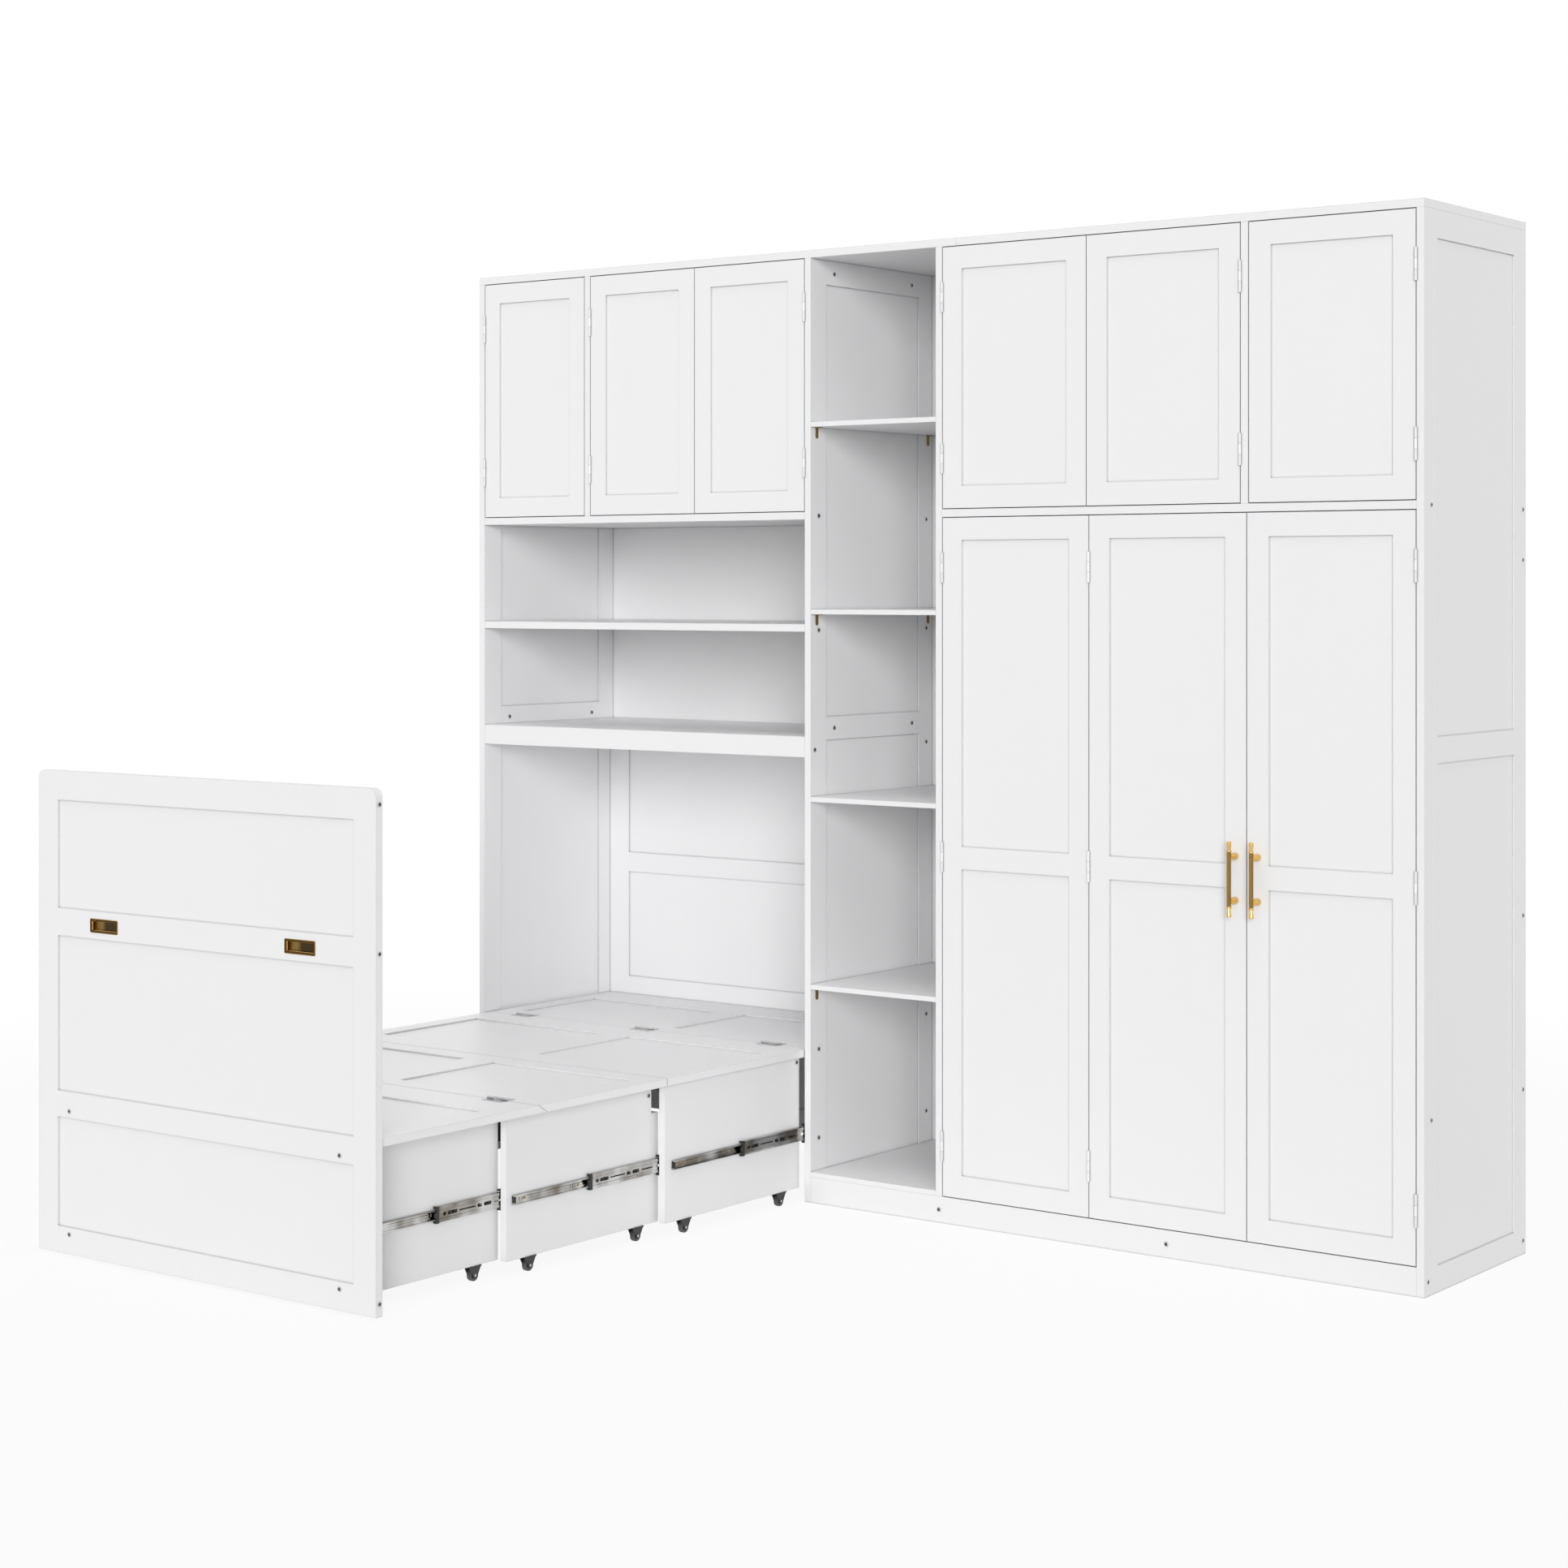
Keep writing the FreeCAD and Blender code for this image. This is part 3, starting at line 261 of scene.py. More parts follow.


# Crossed grooves, so many around the bar and along it; the grooves are bumped and also coloured darker as
# painted shade.
def knurledBrass(name, colour, deep, roughness, around, along):
    material, net = newMaterial(name)
    spot = net.across("turned")
    u = spot * (around * math.tau)
    v = spot.beside("Y") * (along * math.tau)
    studs = (u + v).maths("SINE") * (u - v).maths("SINE") * 0.5 + 0.5
    # the deep tone in the grooves is painted shade
    net.finish(Base_Color=net.mix(studs, deep, colour), Metallic=1.0, Roughness=roughness + (1 - studs) * 0.2,
               Normal=net.bump(studs, 0.7, 0.6 * mm))
    return material


finishes = {
    "white_paint": satinWhite("satin white paint", paint),
    "white_metal": satinWhite("white hinge enamel", enamel),
    "black_metal": castPlastic("black powder coat", (0.006, 0.006, 0.006), (0.012, 0.012, 0.012), 0.5),
    "gold_handle": polishedBrass("polished gold", (0.86, 0.56, 0.17), (0.74, 0.44, 0.1), 0.16),
    "gold_knurl": knurledBrass("knurled gold", (0.5, 0.29, 0.075), (0.1, 0.055, 0.014), 0.3, 20.0, 70.0),
    # the bottom of each pull cup: painted light on its left and painted shade on its right
    "brass_pull": brassWithPaintedLight("antique brass", (0.3, 0.19, 0.055), (0.06, 0.04, 0.016), 0.28),
    "dark_brass": polishedBrass("dark brass", (0.13, 0.075, 0.024), (0.07, 0.04, 0.013), 0.24),
    "screw_brass": polishedBrass("screw brass", (0.4, 0.24, 0.06), (0.25, 0.14, 0.03), 0.3),
    "bronze_bracket": polishedBrass("bronze plate", (0.46, 0.31, 0.1), (0.27, 0.17, 0.05), 0.36),
    # the slide steel's dark bronze bands are painted reflection
    "slide_steel": platedSteel("slide steel", (0.7, 0.7, 0.69), (0.16, 0.13, 0.09), 0.15, "Y"),
    "bright_steel": platedSteel("nickel steel", (0.7, 0.7, 0.7), (0.6, 0.6, 0.62), 0.32, "X", 30.0),
    "grey_plastic": castPlastic("caster grey", (0.016, 0.016, 0.018), (0.035, 0.035, 0.038), 0.34),
    "wheel_plastic": castPlastic("wheel grey", (0.055, 0.055, 0.06), (0.11, 0.11, 0.115), 0.33),
    "black_plastic": castPlastic("black nylon", (0.01, 0.01, 0.01), (0.02, 0.02, 0.02), 0.4),
    # a flat disc on each head, coloured dark as painted shade for the hole of its socket
    "dark_hole": castPlastic("painted socket shade", (0.03, 0.03, 0.03), (0.05, 0.05, 0.05), 0.6),
}
print("materials made:", len(finishes))

slotOf = {entry["node"]: entry["material_slot"] for entry in frame["record"]["subparts"]}
for nodeName, piece in frame["nodes"].items():
    piece.data.materials.clear()
    piece.data.materials.append(finishes[slotOf[nodeName]])


# Mesh helpers

sharpFrom = math.radians(35)   # an edge that turns further stays sharp on a smooth piece


# The boxes of a CAD node's separate solids, as lowest and highest corners.
def islands(nodeName):
    work = bmesh.new()
    work.from_mesh(frame["nodes"][nodeName].data)
    bmesh.ops.remove_doubles(work, verts=work.verts, dist=0.02 * mm)
    left = set(work.verts)
    boxes = []
    while left:
        stack = [left.pop()]
        low, high = stack[0].co.copy(), stack[0].co.copy()
        while stack:
            vert = stack.pop()
            low = Vector(map(min, low, vert.co))
            high = Vector(map(max, high, vert.co))
            for edge in vert.link_edges:
                other = edge.other_vert(vert)
                if other in left:
                    left.remove(other)
                    stack.append(other)
        boxes.append((low, high))
    work.free()
    return boxes


# Turns a bmesh into a finished piece on a body.
def addPiece(name, work, slotNames, body, replaced=(), smooth=True):
    mesh = bpy.data.meshes.new(name)
    work.to_mesh(mesh)
    work.free()
    for slotName in slotNames:
        mesh.materials.append(finishes[slotName])
    if smooth:
        mesh.shade_smooth()
        mesh.set_sharp_from_angle(angle=sharpFrom)
    piece = bpy.data.objects.new(name, mesh)
    bpy.context.scene.collection.objects.link(piece)
    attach(piece, body)
    if replaced:
        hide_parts(*replaced)


# The faces between two closed rings of corners.
def addBand(work, first, second):
    count = len(first)
    return [work.faces.new((first[i], first[(i + 1) % count], second[(i + 1) % count], second[i]))
            for i in range(count)]


# Lathes an outline of (radius, distance) about an axis through the centre, closed at both ends.
# The grooved row has the second finish. The map runs once around and from one end to the other.
def addTurned(work, outline, centre, axis, steps, groovedRow=None, mapLayer=None):
    turn = {"X": Matrix.Rotation(math.radians(90), 3, "Y"), "Y": Matrix.Rotation(math.radians(-90), 3, "X"),
            "Z": Matrix.Identity(3)}[axis]
    rings = []
    for radius, along in outline:
        ring = []
        for step in range(steps):
            angle = math.tau * step / steps
            spot = turn @ Vector((radius * math.cos(angle), radius * math.sin(angle), along))
            ring.append(work.verts.new(centre + spot))
        rings.append(ring)
    start, total = outline[0][1], outline[-1][1] - outline[0][1]
    for row, (lower, upper) in enumerate(zip(rings, rings[1:])):
        for step, face in enumerate(addBand(work, lower, upper)):
            face.material_index = 1 if row == groovedRow else 0
            if mapLayer is not None:
                corners = ((step, row), (step + 1, row), (step + 1, row + 1), (step, row + 1))
                for loop, (turned, which) in zip(face.loops, corners):
                    loop[mapLayer].uv = (turned / steps, (outline[which][1] - start) / total)
    work.faces.new(rings[0][::-1])
    work.faces.new(rings[-1])


# A block between two places across, two along and two up, each pair in either order.
def addBlock(work, across, along, up):
    verts = [work.verts.new((x, y, z)) for z in sorted(up) for y in sorted(along) for x in sorted(across)]
    for order in ((0, 2, 3, 1), (4, 5, 7, 6), (0, 1, 5, 4), (2, 6, 7, 3), (1, 3, 7, 5), (0, 4, 6, 2)):
        work.faces.new([verts[i] for i in order])


# Bar handles

handleBar = {"grip": 59 * mm, "half": 82 * mm, "gripRadius": 5.0 * mm, "neck": 3.3 * mm, "flare": 5.3 * mm,
             "collar": 5.9 * mm, "posts": 48 * mm, "post": 3.6 * mm, "rose": 8.0 * mm, "steps": 40,
             "postSteps": 32}


def makeHandle(nodeName, body):
    low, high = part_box(nodeName)
    half, grip, neck = handleBar["half"], handleBar["grip"], handleBar["neck"]
    flare, collar, post, rose = (handleBar[word] for word in ("flare", "collar", "post", "rose"))
    centre = Vector(((low.x + high.x) / 2, low.y + collar, (low.z + high.z) / 2))
    reach = high.y - centre.y
    work = bmesh.new()
    layer = work.loops.layers.uv.new("turned")
    end = [(0.6 * flare, -half), (flare, -half + 1.2 * mm), (flare, -half + 3 * mm),
           (0.9 * flare, -half + 8 * mm), (0.75 * flare, -half + 14 * mm), (neck, -grip - 4.5 * mm),
           (collar, -grip - 3.6 * mm), (collar, -grip - 1 * mm), (handleBar["gripRadius"] * 0.94, -grip)]
    bar = end + [(radius, -along) for radius, along in reversed(end)]
    addTurned(work, bar, centre, "Z", handleBar["steps"], len(end) - 1, layer)
    stalk = [(post, 0.0), (post, reach - 19 * mm), (post * 1.3, reach - 17 * mm),
             (rose * 0.84, reach - 14 * mm), (rose, reach - 10 * mm), (rose, reach - 7 * mm),
             (rose * 0.88, reach - 4 * mm), (rose * 0.74, reach - 2.5 * mm), (rose * 0.8, reach - 1.5 * mm),
             (rose * 0.8, reach)]
    for side in (-1, 1):
        base = centre + Vector((0, 0, side * handleBar["posts"]))
        addTurned(work, stalk, base, "Y", handleBar["postSteps"])
    bmesh.ops.recalc_face_normals(work, faces=work.faces)
    addPiece(nodeName + "_turned", work, ["gold_handle", "gold_knurl"], body, [nodeName])


makeHandle("handle_left", "door_8")
makeHandle("handle_right", "door_9")
print("handles made")


# Flush pulls in the footboard

flushPull = {"rim": 3.5 * mm, "lip": 1.0 * mm, "edge": 0.6 * mm, "step": 1.8 * mm, "shelf": 2.6 * mm,
             "depth": 9.5 * mm, "corner": 3.0 * mm, "leastCorner": 0.6 * mm, "cornerSteps": 5,
             "sheet": 0.35 * mm}


# The (x, z) points of an upright frame with rounded corners, set in from a box.
def roundedFrame(low, high, inset):
    radius = max(flushPull["corner"] - inset * 0.5, flushPull["leastCorner"])
    points = []
    for right, upper, start in ((True, False, -90), (True, True, 0), (False, True, 90), (False, False, 180)):
        x = high.x - inset - radius if right else low.x + inset + radius
        z = high.z - inset - radius if upper else low.z + inset + radius
        for step in range(flushPull["cornerSteps"]):
            angle = math.radians(start + 90 * step / (flushPull["cornerSteps"] - 1))
            points.append((x + radius * math.cos(angle), z + radius * math.sin(angle)))
    return points


# A stepped cup with a bright worn edge; the map runs across each pull, for the painted light on the left of
# the cup's bottom.
def makePulls():
    work = bmesh.new()
    layer = work.loops.layers.uv.new("across")
    rim, edge, step, shelf = (flushPull[word] for word in ("rim", "edge", "step", "shelf"))
    # how far in, how deep, and the finish of the band that starts there
    rows = ((0.0, flushPull["lip"], 2), (0.0, 0.5 * edge, 1), (edge, 0.0, 2), (rim, 0.0, 2),
            (rim + edge, edge, 2), (rim + edge * 1.3, shelf, 2), (rim + step, shelf + 0.1 * mm, 1),
            (rim + step + edge, shelf + edge, 2), (rim + step + 2 * edge, flushPull["depth"], 0))
    for low, high in islands("footboard_pulls"):
        loops = [[work.verts.new((x, low.y + depth, z)) for x, z in roundedFrame(low, high, inset)]
                 for inset, depth, finish in rows]
        faces = []
        for (inset, depth, finish), first, second in zip(rows, loops, loops[1:]):
            for face in addBand(work, first, second):
                face.material_index = finish
                faces.append(face)
        faces.append(work.faces.new(loops[-1]))
        for face in faces:
            for loop in face.loops:
                spot = loop.vert.co - low
                loop[layer].uv = (spot.x / (high.x - low.x), spot.z / (high.z - low.z))
    bmesh.ops.recalc_face_normals(work, faces=work.faces)
    bmesh.ops.solidify(work, geom=work.faces[:], thickness=flushPull["sheet"])
    addPiece("footboard_pull_cups", work, ["brass_pull", "gold_handle", "dark_brass"], "section_3",
             ["footboard_pulls"], smooth=False)


makePulls()
print("flush pulls made")


# Caster wheels

casterWheel = {"radius": 13 * mm, "hub": 6.5 * mm, "bore": 2.6 * mm, "steps": 36}


def makeWheels(body):
    work = bmesh.new()
    radius, hub, bore = casterWheel["radius"], casterWheel["hub"], casterWheel["bore"]
    for low, high in islands(body):
        centre = (low + high) / 2
        half = (high.x - low.x) / 2
        side = [(bore, -half * 0.7), (hub, -half * 0.7), (hub + 0.6 * mm, -half * 0.94),
                (radius * 0.88, -half), (radius * 0.97, -half * 0.86), (radius, -half * 0.6)]
        outline = side + [(out, -along) for out, along in reversed(side)]
        addTurned(work, outline, centre, "X", casterWheel["steps"])
    bmesh.ops.recalc_face_normals(work, faces=work.faces)
    addPiece(body + "_moulded", work, ["wheel_plastic"], body, [body])


for body in frame["bodies"]:
    if body.endswith("_wheels"):
        makeWheels(body)
print("wheels made")


# Repeated fixings

# A geometry tree that puts a low head on each point, with a dark disc on top as painted shade for its socket.
def fixingTree():
    tree = bpy.data.node_groups.new("fixing heads", "GeometryNodeTree")
    face = tree.interface
    face.new_socket("Geometry", in_out="INPUT", socket_type="NodeSocketGeometry")
    for word, start in (("Head radius", 5.5 * mm), ("Head height", 0.6 * mm), ("Socket radius", 2.4 * mm)):
        face.new_socket(word, in_out="INPUT", socket_type="NodeSocketFloat").default_value = start
    face.new_socket("Socket sides", in_out="INPUT", socket_type="NodeSocketInt").default_value = 6
    for word in ("Head finish", "Socket painted shade"):
        face.new_socket(word, in_out="INPUT", socket_type="NodeSocketMaterial")
    face.new_socket("Geometry", in_out="OUTPUT", socket_type="NodeSocketGeometry")
    net = Net(tree)
    given = net.add("NodeGroupInput", output="Geometry")
    radius, height = given.beside("Head radius"), given.beside("Head height")
    dome = net.add("GeometryNodeMeshCone", {}, {"Vertices": 20, "Side Segments": 1, "Radius Bottom": radius,
                                                "Radius Top": radius * 0.72, "Depth": height})
    # the socket is a disc raised a little above the head, coloured as painted shade
    hole = net.add("GeometryNodeMeshCylinder", {}, {"Vertices": given.beside("Socket sides"),
                                                    "Radius": given.beside("Socket radius"), "Depth": height})
    up = net.add("ShaderNodeCombineXYZ", {}, {"Z": height * 0.58})
    lift = net.add("GeometryNodeTransform", {}, {"Geometry": hole, "Translation": up})
    marked = net.add("GeometryNodeStoreNamedAttribute", {"data_type": "BOOLEAN", "domain": "FACE"},
                     {"Geometry": lift, "Name": "hollow", "Value": True})
    both = net.add("GeometryNodeJoinGeometry", {}, {"Geometry": [dome, marked]})
    facing = net.add("GeometryNodeInputNamedAttribute", {"data_type": "FLOAT_VECTOR"}, {"Name": "facing"},
                     output="Attribute")
    aim = net.add("FunctionNodeAlignEulerToVector", {"axis": "Z"}, {"Vector": facing})
    copies = net.add("GeometryNodeInstanceOnPoints", {}, {"Points": given, "Instance": both, "Rotation": aim})
    real = net.add("GeometryNodeRealizeInstances", {}, {"Geometry": copies})
    metal = net.add("GeometryNodeSetMaterial", {},
                    {"Geometry": real, "Material": given.beside("Head finish")})
    hollow = net.add("GeometryNodeInputNamedAttribute", {"data_type": "BOOLEAN"}, {"Name": "hollow"},
                     output="Attribute")
    last = net.add("GeometryNodeSetMaterial", {}, {"Geometry": metal, "Selection": hollow,
                                                   "Material": given.beside("Socket painted shade")})
    net.add("NodeGroupOutput", {}, {"Geometry": last})
    return tree


headTree = fixingTree()
headInputs = {item.name: item.identifier for item in headTree.interface.items_tree if item.in_out == "INPUT"}


# Puts a head on each (place, facing) and turns the result into a plain mesh.
def placeHeads(name, body, spots, radius, height, socketRadius, sides=6, finish="bright_steel"):
    mesh = bpy.data.meshes.new(name + "_points")
    mesh.from_pydata([tuple(place) for place, towards in spots], [], [])
    facing = mesh.attributes.new("facing", "FLOAT_VECTOR", "POINT")
    for index, (place, towards) in enumerate(spots):
        facing.data[index].vector = towards
    holder = bpy.data.objects.new(name + "_points", mesh)
    bpy.context.scene.collection.objects.link(holder)
    modifier = holder.modifiers.new("heads", "NODES")
    modifier.node_group = headTree
    for word, value in (("Head radius", radius), ("Head height", height), ("Socket radius", socketRadius),
                        ("Socket sides", sides), ("Head finish", finishes[finish]),
                        ("Socket painted shade", finishes["dark_hole"])):
        modifier[headInputs[word]] = value
    bpy.context.view_layer.update()
    seen = holder.evaluated_get(bpy.context.evaluated_depsgraph_get())
    made = bpy.data.meshes.new_from_object(seen)
    made.name = name
    bpy.data.objects.remove(holder)
    piece = bpy.data.objects.new(name, made)
    bpy.context.scene.collection.objects.link(piece)
    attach(piece, body)


boltHead = {"radius": 5.3 * mm, "height": 0.6 * mm, "socket": 3.9 * mm, "widest": 14 * mm,
            "thickest": 1.5 * mm, "steps": 28}


# The outer face of each small disc in a node, and the way it looks. The discs on the front look forwards,
# those on the uprights look right, and the others look away from the middle.
def boltSpots(nodeName, middle):
    spots = []
    for low, high in islands(nodeName):
        size = high - low
        if max(size) > boltHead["widest"] or min(size) > boltHead["thickest"]:
            continue
        centre = (low + high) / 2
        axis = min(range(3), key=lambda i: size[i])
        onUpright = nodeName == "cabinet_bolts" and abs(centre.x) < cadBox[1].x - boltHead["widest"]
        if axis == 1:
            towards = Vector((0, -1, 0))
        else:
            towards = Vector((1 if onUpright or centre.x > middle else -1, 0, 0))
        spots.append((centre + towards * (size[axis] / 2), towards))
    return spots


bedMiddle = sum(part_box("footboard")[i].x for i in (0, 1)) / 2
boltRows = (("cabinet_bolts", "cabinet", 0.0), ("footboard_fixings", "section_3", bedMiddle),
            ("section_1_slide_members", "section_1", bedMiddle),
            ("section_2_slide_members", "section_2", bedMiddle))
for nodeName, body, middle in boltRows:
    placeHeads(nodeName + "_sockets", body, boltSpots(nodeName, middle), boltHead["radius"],
               boltHead["height"], boltHead["socket"])
print("bolt heads made")


# Screws in the deck hinges

deckScrew = {"radius": 2.1 * mm, "height": 0.3 * mm, "socket": 1.2 * mm, "sides": 8, "spread": 20 * mm,
             "inset": 11 * mm, "stagger": 4 * mm, "hinges": (-402 * mm, 0.0, 402 * mm), "leaf": 1.2 * mm,
             "innerFold": 24 * mm, "outerFold": -957 * mm}   # the fold lines, from the cabinet's front
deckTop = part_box("deck_board_1")[1].z
leafTop = deckTop + deckScrew["leaf"]
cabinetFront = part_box("left_side_panel")[0].y
screwRows = (("cabinet", "innerFold", leafTop, 1), ("board_2", "innerFold", leafTop, -1),
             ("board_3", "outerFold", leafTop, 1), ("board_4", "outerFold", deckTop, -1))

for row, (body, fold, top, side) in enumerate(screwRows, 1):
    spots = []
    for hinge in deckScrew["hinges"]:
        for step in (-1, 0, 1):
            inset = deckScrew["inset"] + (deckScrew["stagger"] if step == 0 else 0.0)
            spots.append((Vector((bedMiddle + hinge + step * deckScrew["spread"],
                                  cabinetFront + deckScrew[fold] + side * inset, top)), Vector((0, 0, 1))))
    placeHeads(f"deck_hinge_leaves_{row}_screws", body, spots, deckScrew["radius"], deckScrew["height"],
               deckScrew["socket"], deckScrew["sides"])
print("deck hinge screws made")


# Telescopic slides: rolled members with ball tracks, slots that show the black cage, and end pieces

slide = {"metal": 1.2 * mm, "bulge": 5.0 * mm, "recess": 0.9 * mm, "corner": 1.9 * mm, "outerHalf": 22 * mm,
         "middleHalf": 16.2 * mm, "tolerance": 1.5 * mm, "shortest": 300 * mm, "slotSteps": 12,
         "punch": 3 * mm, "gap": 0.1 * mm, "weld": 0.002 * mm, "rounding": 0.25 * mm,
         "screwRadius": 2.9 * mm, "screwHeight": 0.9 * mm, "screwSocket": 1.2 * mm, "screwSides": 4}
# start, length and height of each slot along a member, in mm from its front end
middleSlots = ((16, 10, 8), (30, 30, 8), (66, 50, 3), (122, 14, 8), (142, 24, 8), (174, 40, 3), (226, 12, 6),
               (262, 12, 6), (300, 60, 3))
innerSlots = ((20, 5, 5), (186, 4, 8), (194, 4, 8), (330, 5, 5))
outerSlots = ((90, 7, 7), (218, 7, 7), (346, 7, 7))
screwPlaces = (32, 39, 214, 352)
# start and length of each bar of the ball cage behind the slots
cageBars = ((9, 5), (17, 3), (24, 7), (34, 3), (40, 6), (50, 3), (56, 8), (118, 7), (128, 4), (140, 6),
            (150, 4), (158, 9))
# The black pieces: pairs of places inwards from a member's outer face, places back from its front end, how
# far they stand past its height, and how far the hooks stop short of its open side.
middleCap = {"plate": (-0.5 * mm, 1.9 * mm), "front": -5 * mm, "back": 4 * mm, "stands": 1.6 * mm,
             "hook": 5.2 * mm, "short": 1.0 * mm, "cage": (2.3 * mm, 3.1 * mm), "cageHalf": 7 * mm,
             "nose": (-0.3 * mm, 1.4 * mm), "noseFront": -11 * mm, "noseHalf": 5 * mm}
outerStop = {"plate": (0.2 * mm, 1.1 * mm), "front": -15 * mm, "stands": 0.6 * mm, "hookLip": 18.4 * mm,
             "short": 0.4 * mm}
innerStop = {"front": 0.6 * mm, "back": 6 * mm, "lower": 3.4 * mm, "short": 1.5 * mm}


def sideOf(low, high):
    return 1.0 if (low.x + high.x) / 2 > bedMiddle else -1.0


# One skin of a rolled member from lip to lip as (inwards, up), and the other skin a metal's thickness inside.
def memberProfile(deep, half, track):
    corner, bulge, recess = slide["corner"], slide["bulge"], slide["recess"] if track else 0.0
    rise = [(deep, -half + 0.2 * corner), (corner, -half), (0.4 * corner, -half + 0.25 * corner),
            (0.05 * corner, -half + 0.9 * corner), (0.0, -half + 1.5 * corner), (0.0, -half + bulge + corner),
            (recess, -half + bulge + corner + recess)]
    skin = rise + [(inward, -up) for inward, up in reversed(rise)]
    inside = []
    for index, (inward, up) in enumerate(skin):
        before, after = skin[max(index - 1, 0)], skin[min(index + 1, len(skin) - 1)]
        along = Vector((after[0] - before[0], after[1] - before[1])).normalized()
        inside.append((min(inward + slide["metal"] * along.y, deep), up - slide["metal"] * along.x))
    return skin + inside[::-1]


# Sweeps the profile along Y between the box's ends.
def addMember(work, outerX, inwards, low, high, half, track=True):
    middle = (low.z + high.z) / 2
    profile = memberProfile(high.x - low.x, half, track)
    rings = [[work.verts.new((outerX + inwards * across, y, middle + up)) for across, up in profile]
             for y in (low.y, high.y)]
    addBand(work, *rings)
    count = len(profile)
    for ring in rings:
        for i in range(count // 2 - 1):
            work.faces.new((ring[i], ring[i + 1], ring[count - 2 - i], ring[count - 1 - i]))


# A bar with round ends, to cut a slot.
def addSlot(work, x0, x1, start, length, height, middle):
    radius = min(length, height) / 2
    upright = height > length
    outline = []
    for step in range(slide["slotSteps"]):
        angle = math.tau * (step + 0.5) / slide["slotSteps"]
        across, up = radius * math.cos(angle), radius * math.sin(angle)
        stretch = (max(length, height) / 2 - radius) * (1 if (up if upright else across) > 0 else -1)
        spot = (across, up + stretch) if upright else (across + stretch, up)
        outline.append((start + length / 2 + spot[0], middle + spot[1]))
    rings = [[work.verts.new((x, y, z)) for y, z in outline] for x in (x0, x1)]
    addBand(work, *rings)
    work.faces.new(rings[0])
    work.faces.new(rings[1][::-1])


# The first bmesh with the second cut out of it, as a bmesh.
def carved(work, cutter):
    holders = []
    for name, part in (("member", work), ("slots", cutter)):
        bmesh.ops.recalc_face_normals(part, faces=part.faces)
        mesh = bpy.data.meshes.new(name)
        part.to_mesh(mesh)
        part.free()
        holder = bpy.data.objects.new(name, mesh)
        bpy.context.scene.collection.objects.link(holder)
        holders.append(holder)
    cut = holders[0].modifiers.new("cut", "BOOLEAN")
    cut.operation, cut.object, cut.solver = "DIFFERENCE", holders[1], "EXACT"
    bpy.context.view_layer.update()
    seen = holders[0].evaluated_get(bpy.context.evaluated_depsgraph_get())
    result = bmesh.new()
    result.from_mesh(seen.to_mesh())
    for holder in holders:
        bpy.data.objects.remove(holder)
    return result


# The long channels of a node as (low, high, side, kind).
def membersOf(nodeName):
    for low, high in islands(nodeName):
        if high.y - low.y < slide["shortest"]:
            continue
        half = (high.z - low.z) / 2
        kinds = {"outer": slide["outerHalf"], "middle": slide["middleHalf"]}
        kind = next((word for word, size in kinds.items() if abs(half - size) < slide["tolerance"]), "inner")
        yield low, high, sideOf(low, high), kind


# The member that moves furthest, open outwards, with brass screws in its web and a black stop in its end.
def addInner(steel, slots, plastic, screws, low, high, side):
    half, middle = (high.z - low.z) / 2, (low.z + high.z) / 2
    outerX, innerX = (high.x, low.x) if side > 0 else (low.x, high.x)
    addMember(steel, innerX, side, low, high, half)
    web = innerX + side * (slide["metal"] + slide["recess"])
    for start, length, height in innerSlots:
        addSlot(slots, innerX - side * mm, web + side * mm, low.y + start * mm, length * mm, height * mm,
                middle)
    for along in screwPlaces:
        screws.append((Vector((web, low.y + along * mm, middle)), Vector((side, 0, 0))))
    stopHalf = half - innerStop["lower"]
    addBlock(plastic, (web, outerX - side * innerStop["short"]),
             (low.y + innerStop["front"], low.y + innerStop["back"]), (middle - stopHalf, middle + stopHalf))


# A fixed or middle member, open inwards, with its slots and the black pieces at its front end.
def addCarrier(steel, slots, plastic, low, high, side, kind):
    half, middle, deep = (high.z - low.z) / 2, (low.z + high.z) / 2, high.x - low.x
    outerX = high.x if side > 0 else low.x
    addMember(steel, outerX, -side, low, high, half, track=kind == "middle")

    # Counted inwards from the outer face, back from the front end and up from the middle.
    def addPart(inwards, back, up):
        addBlock(plastic, [outerX - side * v for v in inwards], [low.y + v for v in back],
                 [middle + v for v in up])

    if kind == "middle":
        cuts, ends = middleSlots, middleCap
        reach = half + ends["stands"]
        lip = reach - ends["hook"]
        addPart(ends["plate"], (ends["front"], ends["back"]), (-reach, reach))
        for start, length in cageBars:
            addPart(ends["cage"], (start * mm, (start + length) * mm), (-ends["cageHalf"], ends["cageHalf"]))
        addPart(ends["nose"], (ends["noseFront"], ends["front"]), (-ends["noseHalf"], ends["noseHalf"]))
    else:
        cuts, ends = outerSlots, outerStop
        reach, lip = half + ends["stands"], ends["hookLip"]
        addPart(ends["plate"], (ends["front"], -slide["gap"]), (-half, half))
    for up in (-1, 1):
        addPart((ends["plate"][1], deep - ends["short"]), (ends["front"], -slide["gap"]),
                (up * reach, up * lip))
    for start, length, height in cuts:
        addSlot(slots, outerX + side * mm, outerX - side * slide["punch"], low.y + start * mm, length * mm,
                height * mm, middle)


